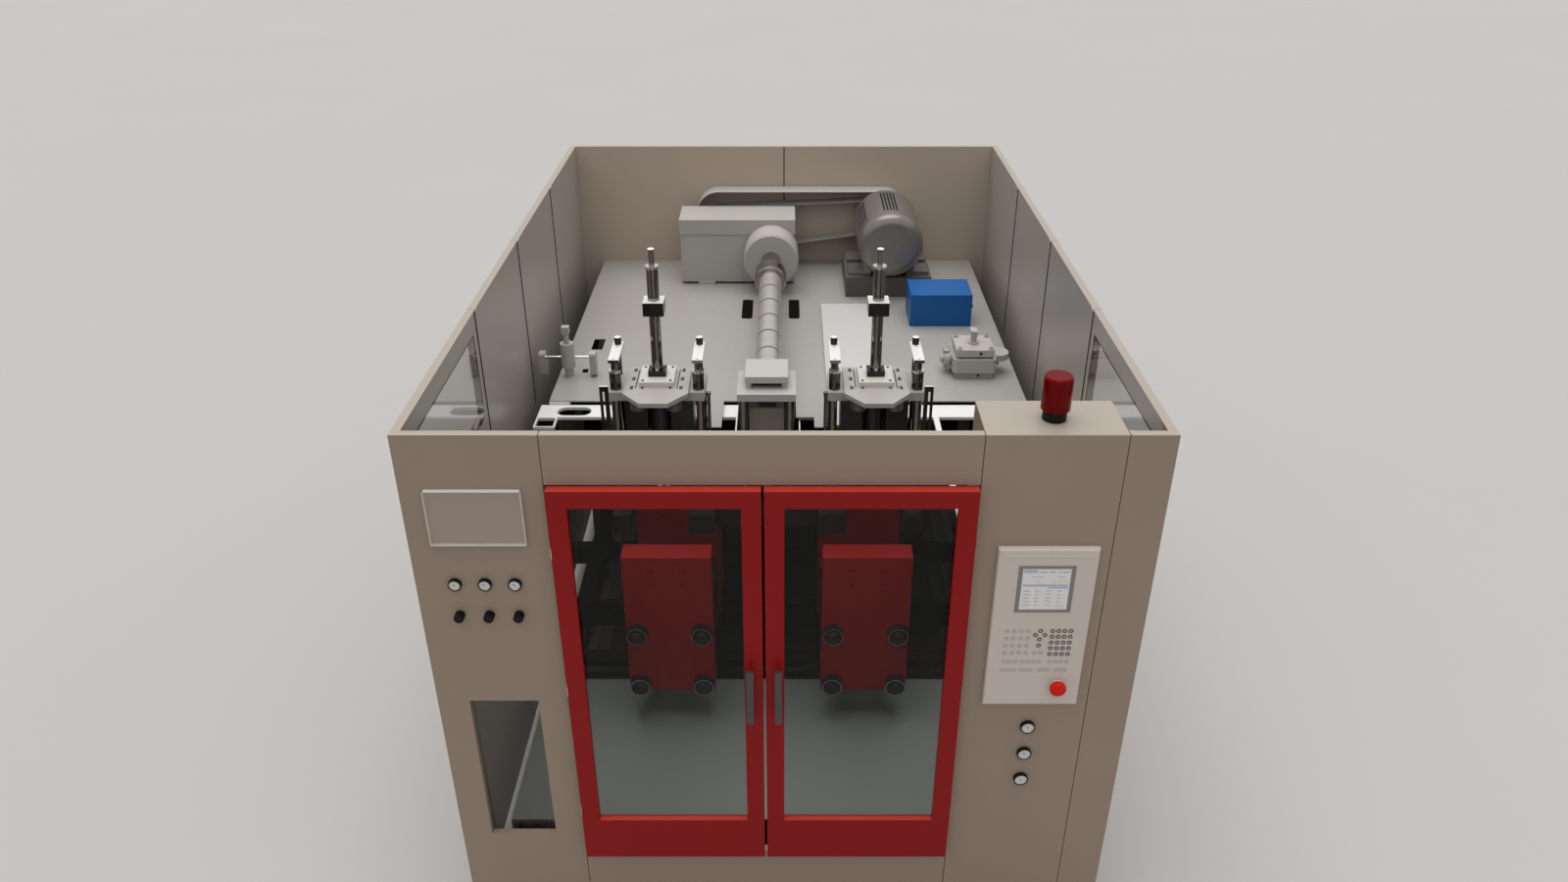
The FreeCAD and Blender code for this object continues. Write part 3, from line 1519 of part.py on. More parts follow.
def extruder_screw():
    """The plasticising screw, drawn without its flight: the pointed root and the drive end."""
    root = turned(
        "screw_root",
        ("0", "0"),
        ("screw_tip_radius", "0"),
        ("screw_root_radius", "screw_tip_length"),
        ("screw_root_radius", "screw_rear - screw_front - screw_shank"),
        ("screw_radius", "screw_rear - screw_front - screw_shank"),
        ("screw_radius", "screw_rear - screw_front"),
        ("0", "screw_rear - screw_front"),
    )
    put(root, "axis_x", "screw_front", "screw_z", turn=ALONG["y"])
    node("extruder_screw", root)


def pulley(name, x, z, radius, shaft, reach):
    """A flat-belt pulley with raised rims on its shaft."""
    lip = "pulley_rim"
    web = "pulley_wall"
    hub = "%s + pulley_hub_wall" % shaft
    start = "pulley_front - (%s)" % reach
    body = turned(
        name + "_body",
        ("0", "0"),
        (shaft, "0"),
        (shaft, start),
        ("%s + %s" % (radius, lip), start),
        ("%s + %s" % (radius, lip), "%s + pulley_rim_width" % start),
        (radius, "%s + pulley_rim_width" % start),
        (radius, "%s + pulley_width - pulley_rim_width" % start),
        ("%s + %s" % (radius, lip), "%s + pulley_width - pulley_rim_width" % start),
        ("%s + %s" % (radius, lip), "%s + pulley_width" % start),
        ("%s - %s" % (radius, web), "%s + pulley_width" % start),
        ("%s - %s" % (radius, web), "%s + pulley_width - pulley_dish" % start),
        (hub, "%s + pulley_width - pulley_dish" % start),
        (hub, "%s + pulley_width" % start),
        ("0", "%s + pulley_width" % start),
    )
    put(body, x, reach, z, turn=ALONG["y"])
    node(name, body)


def drive_belt():
    """The belt: the outline of the two pulleys' shared tangents, less the same outline inside it."""
    gap = "belt_gap"
    thick = "belt_thickness"
    y = (
        "pulley_front + pulley_rim_width + belt_gap",
        "pulley_front + pulley_width - pulley_rim_width - belt_gap",
    )

    def loop(name, grow, y_pair):
        big = "input_pulley_radius + %s" % grow
        small = "motor_pulley_radius + %s" % grow
        ends = [
            rod(name + "_big", "y", big, y_pair, ("input_x", "input_z")),
            rod(name + "_small", "y", small, y_pair, ("motor_x", "motor_z")),
        ]
        dx = "(motor_x - input_x)"
        dz = "(motor_z - input_z)"
        reach = "sqrt(%s * %s + %s * %s)" % (dx, dx, dz, dz)
        lean = "atan(%s / %s)" % (dz, dx)
        fall = "asin((input_pulley_radius - motor_pulley_radius) / %s)" % reach
        up = "(%s - %s + 90 deg)" % (lean, fall)
        down = "(%s + %s - 90 deg)" % (lean, fall)
        web = new_body(name + "_web")
        sketch = new_sketch(web, name + "_tangents", "XZ_Plane")
        outline(
            sketch,
            ("input_x + (%s) * cos(%s)" % (big, up), "input_z + (%s) * sin(%s)" % (big, up)),
            ("motor_x + (%s) * cos(%s)" % (small, up), "motor_z + (%s) * sin(%s)" % (small, up)),
            ("motor_x + (%s) * cos(%s)" % (small, down), "motor_z + (%s) * sin(%s)" % (small, down)),
            ("input_x + (%s) * cos(%s)" % (big, down), "input_z + (%s) * sin(%s)" % (big, down)),
        )
        pad(web, sketch, name + "_web_pad", "(%s) - (%s)" % (y_pair[1], y_pair[0]))
        put(web, "0", y_pair[1], "0")
        return joined(name + "_loop", web, *ends)

    outer = loop("belt_outer", "%s + %s" % (gap, thick), y)
    inner = loop("belt_inner", gap, (y[0] + " - 1", y[1] + " + 1"))
    node("drive_belts", less("drive_belts", outer, inner))


def belt_guard():
    """A bent strip standing on the deck: two legs and a flat top with round corners."""
    body = new_body("guard_body")
    sketch = new_sketch(body, "guard_outline", "XZ_Plane")
    base, top = "deck_top", "deck_top + guard_height"
    outline(
        sketch,
        ("guard_left", base), ("guard_left", top), ("guard_right", top), ("guard_right", base),
        ("guard_right - guard_wall", base), ("guard_right - guard_wall", top + " - guard_wall"),
        ("guard_left + guard_wall", top + " - guard_wall"), ("guard_left + guard_wall", base),
    )
    pad(body, sketch, "guard_pad", "guard_depth")
    crown = size("frame_top") + size("deck_thickness") + size("guard_height")
    wall = size("guard_wall")

    def corner(edge, level):
        ends = [v.Point for v in edge.Vertexes]
        if len(ends) != 2:
            return False
        along = abs(ends[0].y - ends[1].y) > 1
        return along and all(abs(p.z - level) < 0.01 for p in ends)

    rounded(body, "guard_outer_bends", "guard_corner", lambda e: corner(e, crown))
    rounded(body, "guard_inner_bends", "guard_corner - guard_wall", lambda e: corner(e, crown - wall))
    put(body, "0", "guard_front + guard_depth", "0")
    node("belt_guard", body)


def drive_motor():
    """A round-shouldered motor with a rear flange and four feet, all one casting."""
    length = "motor_rear - motor_front"
    body = turned(
        "motor_case",
        ("0", "0"),
        ("motor_radius", "0"),
        ("motor_radius", length),
        ("motor_flange_radius", length),
        ("motor_flange_radius", "%s + motor_flange" % length),
        ("motor_shaft_radius + running_gap", "%s + motor_flange" % length),
        ("motor_shaft_radius + running_gap", "%s - motor_shaft_depth" % length),
        ("0", "%s - motor_shaft_depth" % length),
    )
    rounded(
        body, "motor_shoulder", "motor_edge",
        lambda e: len(e.Vertexes) == 1 and abs(e.Vertexes[0].Z) < 0.01,
    )
    put(body, "motor_x", "motor_front", "motor_z", turn=ALONG["y"])
    seat = "deck_top + motor_base_height"
    feet = []
    for s, sign in enumerate(("-1", "1")):
        inner = "motor_x + %s * (motor_foot_reach - motor_foot_width)" % sign
        outer = "motor_x + %s * motor_foot_reach" % sign
        x = (outer, inner) if sign == "-1" else (inner, outer)
        web_in = "motor_x + %s * motor_web_inner" % sign
        web_out = "motor_x + %s * motor_web_outer" % sign
        web_x = (web_out, web_in) if sign == "-1" else (web_in, web_out)
        starts = ("motor_front + motor_foot_front", "motor_rear - motor_foot_rear - motor_foot_length")
        for k, start in enumerate(starts):
            y = span(start, "motor_foot_length")
            feet.append(block("motor_foot_%d_%d" % (s, k), x, y, span(seat, "motor_foot_thickness")))
            feet.append(block("motor_web_%d_%d" % (s, k), web_x, y, (seat, "motor_z - motor_web_drop")))
    case = less("motor_vented", body, *motor_slots())
    node("drive_motor", joined("drive_motor", case, *feet))


def motor_slots():
    """Two rows of long air slots, cut along the motor's crown and its left flank."""
    cuts = []
    reach = "(motor_radius - motor_slot_depth)"
    half = "(motor_slot_width / 2)"
    for row, middle in enumerate(("motor_slot_crown", "motor_slot_flank")):
        for k in range(int(size("motor_slot_count"))):
            lean = "((%s + (%d - (motor_slot_count - 1) / 2) * motor_slot_pitch) * 1 deg)" % (middle, k)
            cut = doc.addObject("Part::Box", "motor_slot_%d_%d" % (row, k))
            bind(cut, "Length", "2 * motor_slot_depth")
            bind(cut, "Width", "motor_slot_length")
            bind(cut, "Height", "motor_slot_width")
            put(
                cut,
                "motor_x + %s * cos(%s) + %s * sin(%s)" % (reach, lean, half, lean),
                "motor_front + motor_slot_front",
                "motor_z + %s * sin(%s) - %s * cos(%s)" % (reach, lean, half, lean),
                turn=FreeCAD.Rotation(FreeCAD.Vector(0, 1, 0), -worth(lean)),
            )
            cuts.append(cut)
    return cuts


def motor_base():
    """The raised block that the motor's feet stand on."""
    x = around("motor_x", "motor_base_width / 2")
    y = ("motor_base_front", "motor_base_rear")
    node("motor_base", block("motor_base", x, y, span("deck_top", "motor_base_height")))


# ---- die head -------------------------------------------------------------------------------

def head_platform():
    """The plate over the head on four columns, and the cap on its pedestal and four round feet."""
    x = around("axis_x", "head_platform_width / 2")
    slab = block(
        "platform_slab", x, ("head_platform_front", "head_platform_rear"),
        span("head_platform_bottom", "head_platform_thickness"),
    )
    columns = []
    column_z = ("bearer_top", "head_platform_bottom")
    rows = ("head_bearer_front + head_bearer_depth / 2", "head_bearer_rear + head_column_radius / 2")
    for s, cx in enumerate(("axis_x - head_column_offset", "axis_x + head_column_offset")):
        for k, cy in enumerate(rows):
            name = "head_column_%d_%d" % (s, k)
            columns.append(rod(name, "z", "head_column_radius", column_z, (cx, cy)))
    cap_x = around("axis_x", "head_cap_width / 2")
    cap_y = ("head_cap_front", "head_platform_rear")
    foot_z = span("platform_top", "head_cap_foot")
    cap = [
        block("cap_plate", cap_x, cap_y, span("platform_top + head_cap_foot", "head_cap_thickness")),
        block(
            "cap_pedestal", around("axis_x", "head_cap_width / 2 - head_pedestal_inset"),
            (cap_y[0] + " + head_pedestal_inset", cap_y[1]), foot_z,
        ),
    ]
    for s, cx in enumerate((cap_x[0] + " + head_cap_foot_inset", cap_x[1] + " - head_cap_foot_inset")):
        for k, cy in enumerate((cap_y[0] + " + head_cap_foot_inset", cap_y[1] + " - head_cap_foot_inset")):
            cap.append(rod("cap_foot_%d_%d" % (s, k), "z", "head_cap_foot_radius", foot_z, (cx, cy)))
    node("head_platform", group("head_platform", slab, joined("head_cap", *cap), *columns))


def die_head():
    """The cross head: a block fed from behind, with the die and its tip below."""
    x = around("axis_x", "head_width / 2")
    centre_y = "(head_front + head_rear) / 2"
    body = block("head_block", x, ("head_front", "head_rear"), ("head_bottom", "head_top"))
    hanger = block(
        "head_hanger", around("axis_x", "head_hanger_half"),
        ("head_front + head_hanger_inset", "head_rear - head_hanger_inset"),
        ("head_top", "head_platform_bottom"),
    )
    die = turned(
        "die_body",
        ("0", "0"),
        ("die_radius", "0"),
        ("die_radius", "-die_length"),
        ("die_tip_radius", "-die_length"),
        ("die_tip_radius", "-die_length - die_tip_length"),
        ("die_tip_radius - die_tip_wall", "-die_length - die_tip_length"),
        ("die_tip_radius - die_tip_wall", "-die_length - die_tip_length + die_bore_depth"),
        ("0", "-die_length - die_tip_length + die_bore_depth"),
    )
    put(die, "axis_x", centre_y, "head_bottom")
    node("die_head", joined("die_head", body, hanger, die))


# ---- blow stations --------------------------------------------------------------------------

def blow_station(side, sign):
    x = "axis_x + %s * station_offset" % sign
    node("blow_bridge_" + side, blow_bridge(side, x))
    node("blow_cylinder_" + side, blow_cylinder(side, x))
    node("blow_rod_" + side, blow_rod(side, x))


def blow_bridge(side, x):
    """The bridge on four columns, the eight-sided plate on it and the two guide towers."""
    bore = "blow_housing_radius + housing_clearance"
    slab = less(
        "bridge_" + side,
        block(
            "bridge_blank_" + side, around(x, "bridge_half_width"), ("bridge_front", "bridge_rear"),
            ("bridge_bottom", "bridge_top"),
        ),
        rod("bridge_bore_" + side, "z", bore, ("bridge_bottom - 1", "bridge_top + 1"), (x, "station_y")),
    )
    pieces = [slab, octagon_plate(side, x)]
    column_z = ("bearer_top", "bridge_bottom")
    for s, sign in enumerate(("-", "+")):
        column_x = "%s %s column_offset" % (x, sign)
        for k, y in enumerate(("column_front", "column_rear")):
            name = "station_column_%s_%d_%d" % (side, s, k)
            pieces.append(rod(name, "z", "column_radius", column_z, (column_x, y)))
        pieces.append(guide_tower("tower_%s_%d" % (side, s), "%s %s tower_offset" % (x, sign)))
    pieces += [end_bracket(side, x), side_rod(side, x)]
    return group("blow_bridge_" + side, *(pieces + under_bridge(side, x)))


def under_bridge(side, x):
    """The guide block with its two cheeks that hangs behind the cylinder, and the octagon's two bosses."""
    block_y = ("guide_block_front", "guide_block_rear")
    pieces = [
        block("guide_block_" + side, around(x, "guide_block_half"), block_y, ("guide_block_bottom", "bridge_bottom")),
    ]
    cheek_y = ("cheek_front", "guide_block_front")
    for s, cheek_x in enumerate((
        ("%s - guide_block_half" % x, "%s - cheek_inner" % x),
        ("%s + cheek_inner" % x, "%s + guide_block_half" % x),
    )):
        pieces.append(block("cheek_%s_%d" % (side, s), cheek_x, cheek_y, ("cheek_bottom", "bridge_bottom")))
    boss_z = ("bridge_top - boss_height", "bridge_top")
    for s, sign in enumerate(("-", "+")):
        place = ("%s %s boss_offset" % (x, sign), "boss_y")
        pieces.append(rod("boss_%s_%d" % (side, s), "z", "boss_radius", boss_z, place))
    return pieces


def end_bracket(side, x):
    """The slotted plate that stands at the outer end of the bridge."""
    z = ("bracket_bottom", "bracket_top")
    if side == "left":
        plate_x = ("%s - bridge_half_width - bracket_width" % x, "%s - bridge_half_width" % x)
        cut_x = span(plate_x[0] + " + bracket_slot_left", "bracket_slot_width")
    else:
        plate_x = span("%s + bridge_half_width" % x, "bracket_width")
        far = "%s - bracket_slot_left" % plate_x[1]
        cut_x = (far + " - bracket_slot_width", far)
    y = span("bridge_front", "bracket_thickness")
    cut = block(
        "bracket_slot_" + side, cut_x, (y[0] + " - 1", y[1] + " + 1"),
        (z[0] + " + bracket_slot_margin", z[1] + " - bracket_slot_margin"),
    )
    return less("end_bracket_" + side, block("bracket_blank_" + side, plate_x, y, z), cut)


def side_rod(side, x):
    """The capped rod that stands on the inner bearer beside the bridge."""
    place = ("%s %s side_rod_offset" % (x, "+" if side == "left" else "-"), "side_rod_y")
    stem = rod("side_rod_stem_" + side, "z", "side_rod_radius", ("bearer_top", "side_rod_top"), place)
    cap = rod("side_rod_cap_" + side, "z", "side_rod_cap_radius", span("side_rod_top", "side_rod_cap"), place)
    return joined("side_rod_" + side, stem, cap)


def octagon_plate(side, x):
    """The plate with a cut-cornered nose, three short slots and a long slit down each flank."""
    body = new_body("octagon_body_" + side)
    sketch = new_sketch(body, "octagon_outline_" + side, "XY_Plane")
    outline(
        sketch,
        ("-octagon_nose_half", "octagon_front"),
        ("octagon_nose_half", "octagon_front"),
        ("octagon_half_width", "octagon_shoulder"),
        ("octagon_half_width", "octagon_rear"),
        ("-octagon_half_width", "octagon_rear"),
        ("-octagon_half_width", "octagon_shoulder"),
    )
    pad(body, sketch, "octagon_pad_" + side, "octagon_thickness")
    holes = new_sketch(body, "octagon_holes_" + side, "XY_Plane")
    circle(holes, "blow_housing_radius + housing_clearance", "0", "station_y")
    for sign in ("-1", "1"):
        for k in (-1, 0, 1):
            middle = "station_y + %d * octagon_slot_pitch" % k
            rectangle(
                holes, around("%s * octagon_slot_offset" % sign, "octagon_slot_width / 2"),
                around(middle, "octagon_slot_length / 2"),
            )
        rectangle(
            holes, around("%s * octagon_slit_offset" % sign, "octagon_slit_width / 2"),
            around("station_y", "octagon_slit_length / 2"),
        )
    pocket(body, holes, "octagon_cuts_" + side, reverse=True)
    return put(body, x, "0", "bridge_top")


def guide_tower(name, x):
    """A front cylinder and rod, a rear post, and the bar that ties them, with a knob at the back."""
    bar_z = span("tower_rod_top", "tower_bar_thickness")
    bar_y = ("tower_bar_front", "tower_bar_rear")
    axis = (x, "column_front + tower_setback")
    collar_z = ("bridge_top + tower_height - tower_collar", "bridge_top + tower_height")
    return joined(
        name,
        rod(name + "_cylinder", "z", "tower_radius", span("bridge_top", "tower_height"), axis),
        rod(name + "_collar", "z", "tower_collar_radius", collar_z, axis),
        rod(name + "_rod", "z", "tower_rod_radius", ("bridge_top", "tower_rod_top"), axis),
        block(name + "_bar", around(x, "tower_bar_width / 2"), bar_y, bar_z),
        rod(name + "_post", "z", "tower_post_radius", ("bridge_top", "tower_rod_top"), (x, "tower_post_y")),
        rod(name + "_knob", "z", "tower_knob_radius", span(bar_z[1], "tower_knob_height"), (x, "tower_post_y")),
    )


def blow_cylinder(side, x):
    """The bored cylinder: housing below, flange, tube, square block and upper tube."""
    bore = "rod_radius + running_gap"
    name = "blow_tube_" + side
    body = turned(
        name,
        (bore, "blow_housing_bottom"),
        ("blow_housing_radius", "blow_housing_bottom"),
        ("blow_housing_radius", "flange_top"),
        ("blow_tube_radius", "flange_top"),
        ("blow_tube_radius", "block_top"),
        ("blow_upper_radius", "block_top"),
        ("blow_upper_radius", "blow_tube_top - blow_collar_height"),
        ("blow_collar_radius", "blow_tube_top - blow_collar_height"),
        ("blow_collar_radius", "blow_tube_top"),
        (bore, "blow_tube_top"),
    )
    put(body, x, "station_y", "0")
    flange = block(
        name + "_flange", around(x, "flange_half_width"), around("station_y", "flange_half_depth"),
        ("octagon_top", "flange_top"),
    )
    square = block(
        name + "_block", around(x, "blow_block_half"), around("station_y", "blow_block_half"),
        ("blow_block_bottom", "block_top"),
    )
    foot = block(
        name + "_foot", around(x, "tube_foot_half"), around("station_y", "tube_foot_half_depth"),
        ("octagon_top", "flange_top + tube_foot_height"),
    )
    core = rod(name + "_core", "z", bore, ("octagon_top - 1", "block_top + 1"), (x, "station_y"))
    shell = less(name + "_squares", joined(name + "_pair", flange, square, foot), core)
    return joined("blow_cylinder_" + side, body, shell)


def blow_rod(side, x):
    """The rod through the cylinder, with its cap above and the blow pin below."""
    body = turned(
        "blow_rod_body_" + side,
        ("0", "rod_bottom"),
        ("pin_point_radius", "rod_bottom"),
        ("pin_radius", "rod_bottom + pin_taper"),
        ("pin_radius", "pin_top - pin_collar"),
        ("pin_collar_radius", "pin_top - pin_collar"),
        ("pin_collar_radius", "pin_top"),
        ("rod_radius", "pin_top"),
        ("rod_radius", "rod_top"),
        ("rod_cap_radius", "rod_top"),
        ("rod_cap_radius", "rod_top + rod_cap - rod_cap_edge"),
        ("rod_cap_radius - rod_cap_edge", "rod_top + rod_cap"),
        ("0", "rod_top + rod_cap"),
    )
    return put(body, x, "station_y", "0")


# ---- clamping units -------------------------------------------------------------------------

def bed_rails():
    """The two cross rails that both carriages run on."""
    rails = []
    for k, y in enumerate(("bed_beam_front", "bed_beam_rear")):
        middle = "%s + frame_tube / 2" % y
        rails.append(
            block(
                "bed_rail_%d" % k, ("-bed_rail_half", "bed_rail_half"), around(middle, "rail_width / 2"),
                ("bed_top", "bed_rail_top"),
            )
        )
    node("clamp_rails", group("clamp_rails", *rails))


def tie_bar_places(x):
    return [
        ("%s %s tie_bar_offset" % (x, sign), z) for sign in ("-", "+") for z in ("tie_bar_low", "tie_bar_high")
    ]


def bores(name, x, y):
    """The running bores for the four tie bars, through a plate between the two places along Y."""
    through = (y[0] + " - 1", y[1] + " + 1")
    return [
        rod("%s_bore_%d" % (name, k), "y", "tie_bar_radius + running_gap", through, place)
        for k, place in enumerate(tie_bar_places(x))
    ]


def shoe(name, centre, y, z_low, z_high, groove_top):
    """A guide shoe that straddles a rail along Y, with a running gap round the rail."""
    half = "rail_width / 2 + shoe_gap"
    return less(
        name,
        block(name + "_blank", around(centre, "shoe_width / 2"), y, (z_low, z_high)),
        block(
            name + "_groove", around(centre, half), (y[0] + " - 1", y[1] + " + 1"), (z_low + " - 1", groove_top)
        ),
    )


def platen_shoes(name, x, y):
    """The two shoes under a platen, one on each guide rail."""
    z = ("guide_top - shoe_skirt", "platen_bottom")
    return [
        shoe("%s_shoe_%d" % (name, k), "%s %s guide_offset" % (x, s), y, z[0], z[1], "guide_top + shoe_gap")
        for k, s in enumerate(("-", "+"))
    ]


def clamp_unit(side, sign):
    x = "axis_x + %s * clamp_offset" % sign
    node("clamp_carriage_" + side, carriage(side, x))
    node("front_platen_" + side, front_platen(side, x))
    node("tie_bars_" + side, tie_bars(side, x))
    node("rear_platen_" + side, rear_platen(side, x))
    node("moving_platen_" + side, moving_platen(side, x))


def carriage(side, x):
    """The slab on four shoes, its tie-bar bearing block and the two guide rails behind it."""
    name = "carriage_" + side
    slab = block(
        name + "_slab", around(x, "carriage_half_width"), ("carriage_front", "carriage_rear"),
        ("carriage_bottom", "carriage_top"),
    )
    bearing_y = span("carriage_front", "bearing_depth")
    bearing_z = ("carriage_top", "bearing_top")
    bearing = block(name + "_bearing", around(x, "platen_half_width"), bearing_y, bearing_z)
    bearing = less(name + "_bushed", bearing, *bores(name, x, bearing_y))
    guides = [
        block(
            "%s_guide_%d" % (name, k), around("%s %s guide_offset" % (x, s), "rail_width / 2"),
            (bearing_y[1], "carriage_rear"), ("carriage_top", "guide_top"),
        )
        for k, s in enumerate(("-", "+"))
    ]
    shoes = []
    for k, beam in enumerate(("bed_beam_front", "bed_beam_rear")):
        middle = "%s + frame_tube / 2" % beam
        for j, s in enumerate(("-", "+")):
            shoe_x = around("%s %s (carriage_half_width - shoe_length / 2)" % (x, s), "shoe_length / 2")
            tag = "%s_shoe_%d_%d" % (name, k, j)
            blank = block(
                tag + "_blank", shoe_x, around(middle, "shoe_width / 2"),
                ("bed_rail_top - shoe_skirt", "carriage_bottom"),
            )
            groove = block(
                tag + "_groove", (shoe_x[0] + " - 1", shoe_x[1] + " + 1"),
                around(middle, "rail_width / 2 + shoe_gap"),
                ("bed_rail_top - shoe_skirt - 1", "bed_rail_top + shoe_gap"),
            )
            shoes.append(less(tag, blank, groove))
    return joined("clamp_carriage_" + side, slab, bearing, *(guides + shoes))


def platen_slots(name, x, face, inward):
    """Pairs of short mounting slots in a platen's face."""
    cuts = []
    if inward:
        y = ("%s - 1" % face, "%s + platen_slot_depth" % face)
    else:
        y = ("%s - platen_slot_depth" % face, "%s + 1" % face)
    for k in range(int(size("platen_slot_count"))):
        top = "platen_slot_top - %d * platen_slot_pitch" % k
        z = ("%s - platen_slot_height" % top, top)
        for j, s in enumerate(("-", "+")):
            centre = "%s %s 2 * platen_slot_half" % (x, s)
            cut_x = around(centre, "platen_slot_width / 2")
            cuts.append(block("%s_slot_%d_%d" % (name, k, j), cut_x, y, z))
    return cuts


def front_platen(side, x):
    name = "front_platen_" + side
    y = span("front_platen_y", "platen_thickness")
    blank = block(name + "_blank", around(x, "platen_half_width"), y, ("platen_bottom", "platen_top"))
    cuts = platen_slots(name, x, y[0], True) + bores(name, x, y)
    return less(name, blank, *cuts)


def tie_bars(side, x):
    """Four bars, each with a round nut at both ends."""
    name = "tie_bars_" + side
    pieces = []
    front = "front_platen_y - tie_nut - tie_bar_end"
    back = "rear_platen_y + rear_platen_thickness"
    whole = (front, back + " + tie_nut + tie_bar_end")
    head_y = span("front_platen_y - tie_nut", "tie_nut")
    for k, place in enumerate(tie_bar_places(x)):
        bar = rod("%s_bar_%d" % (name, k), "y", "tie_bar_radius", whole, place)
        head = rod("%s_head_%d" % (name, k), "y", "tie_nut_radius", head_y, place)
        tail = rod("%s_tail_%d" % (name, k), "y", "tie_nut_radius", span(back, "tie_nut"), place)
        pieces.append(joined("%s_piece_%d" % (name, k), bar, head, tail))
    return group(name, *pieces)


def rear_platen(side, x):
    """The cylinder plate on its shoes, and the bored clamping cylinder behind it."""
    name = "rear_platen_" + side
    y = span("rear_platen_y", "rear_platen_thickness")
    blank = block(name + "_blank", around(x, "platen_half_width"), y, ("platen_bottom", "rear_platen_top"))
    through = (y[0] + " - 1", y[1] + " + 1")
    gland = rod(name + "_gland", "y", "clamp_rod_radius + running_gap", through, (x, "press_z"))
    body = less(name + "_plate", blank, gland, *bores(name, x, y))
    shoes = platen_shoes(name, x, y)
    barrel = turned(
        name + "_barrel",
        ("clamp_bore_radius", "0"),
        ("clamp_barrel_radius", "0"),
        ("clamp_barrel_radius", "clamp_barrel_length + clamp_cap"),
        ("0", "clamp_barrel_length + clamp_cap"),
        ("0", "clamp_barrel_length"),
        ("clamp_bore_radius", "clamp_barrel_length"),
    )
    put(barrel, x, y[1], "press_z", turn=ALONG["y"])
    return joined(name, body, barrel, *shoes)


def moving_platen(side, x):
    """The inner platen on its shoes, with the piston and rod that drive it."""
    name = "moving_platen_" + side
    y = span("moving_platen_y", "platen_thickness")
    blank = block(name + "_blank", around(x, "platen_half_width"), y, ("platen_bottom", "platen_top"))
    cuts = platen_slots(name, x, y[0], True) + bores(name, x, y)
    body = less(name + "_plate", blank, *cuts)
    shoes = platen_shoes(name, x, y)
    start = y[1]
    piston_rod = rod(name + "_rod", "y", "clamp_rod_radius", (start, "clamp_piston_start"), (x, "press_z"))
    piston_y = span("clamp_piston_start", "clamp_piston")
    piston = rod(name + "_piston", "y", "clamp_bore_radius - running_gap", piston_y, (x, "press_z"))
    return joined(name, body, piston_rod, piston, *shoes)


# ---- boxes and devices on the deck ----------------------------------------------------------

def junction_box():
    x = span("blue_left", "blue_width")
    box = block("blue_case", x, span("blue_front", "blue_depth"), span("deck_top", "blue_height"))
    plugs = [
        rod(
            "blue_plug_%d" % k, "x", "blue_plug_radius", span(x[1], "blue_plug"),
            ("blue_front + blue_plug_front + %d * blue_plug_pitch" % k, "deck_top + blue_plug_height"),
        )
        for k in range(2)
    ]
    node("junction_box", joined("junction_box", box, *plugs))


def transfer_valve():
    """A cast valve: foot, round-cornered body, bolted lid, hub with a lever, a flanged port at the
    left, and a port under a round lobe at the right."""
    body = new_body("valve_casting")
    sketch = new_sketch(body, "valve_outline", "XY_Plane")
    rectangle(sketch, around("0", "valve_half_width"), around("0", "valve_half_depth"))
    pad(body, sketch, "valve_pad", "valve_body_height")
    rounded(
        body, "valve_corners", "valve_corner",
        lambda e: len(e.Vertexes) == 2 and abs(e.Vertexes[0].Z - e.Vertexes[1].Z) > 1,
    )
    put(body, "valve_x", "valve_y", "deck_top + valve_foot")
    foot = block(
        "valve_base", around("valve_x", "valve_half_width - valve_foot_inset"),
        around("valve_y", "valve_half_depth - valve_foot_inset"), span("deck_top", "valve_foot"),
    )
    neck_z = "deck_top + valve_foot + valve_body_height"
    neck = block(
        "valve_neck", around("valve_x", "valve_half_width - valve_neck_inset"),
        around("valve_y", "valve_half_depth - valve_neck_inset"), span(neck_z, "valve_neck"),
    )
    lid_z = "%s + valve_neck" % neck_z
    lid = block(
        "valve_lid", around("valve_x", "valve_half_width - valve_lid_inset"),
        around("valve_y", "valve_half_depth - valve_lid_inset"), span(lid_z, "valve_lid_height"),
    )
    cap_z = "%s + valve_lid_height" % lid_z
    hub = rod("valve_hub_disc", "z", "valve_hub_radius", span(cap_z, "valve_hub"), ("valve_x", "valve_y"))
    stem = block(
        "valve_square", around("valve_x", "valve_stem / 2"), around("valve_y", "valve_stem / 2"),
        span(cap_z, "valve_stem_height"),
    )
    lever = block(
        "valve_lever", around("valve_x", "valve_lever_half"),
        ("valve_y - valve_lever_front", "valve_y + valve_lever_rear"),
        span("%s + valve_stem_height" % cap_z, "valve_lever"),
    )
    bolts = []
    for s in ("-", "+"):
        for t in ("-", "+"):
            bolts.append(
                rod(
                    "valve_bolt_%d" % len(bolts), "z", "valve_bolt_radius", span(cap_z, "valve_bolt"),
                    (
                        "valve_x %s (valve_half_width - valve_bolt_inset)" % s,
                        "valve_y %s (valve_half_depth - valve_bolt_inset)" % t,
                    ),
                )
            )
    port_z = "deck_top + valve_foot + valve_body_height / 2"
    axis = ("valve_y", port_z)
    near = "valve_x - valve_half_width - valve_flange_gap"
    far = "%s - valve_flange" % near
    left = [
        rod("valve_left_neck", "x", "valve_port_radius", (near, "valve_x"), axis),
        rod("valve_left_flange", "x", "valve_flange_radius", (far, near), axis),
        rod("valve_left_spindle", "x", "valve_spindle_radius", ("%s - valve_spindle" % far, far), axis),
    ]
    right_x = ("valve_x", "valve_x + valve_half_width + valve_port_right")
    right = [
        rod("valve_right_port", "x", "valve_port_radius", right_x, axis),
        rod(
            "valve_right_lobe", "z", "valve_lobe_radius", ("%s - valve_lobe" % neck_z, neck_z),
            ("valve_x + valve_lobe_offset", "valve_y"),
        ),
    ]
    whole = [body, foot, neck, lid, hub, stem, lever] + left + right + bolts
    node("transfer_valve", joined("transfer_valve", *whole))


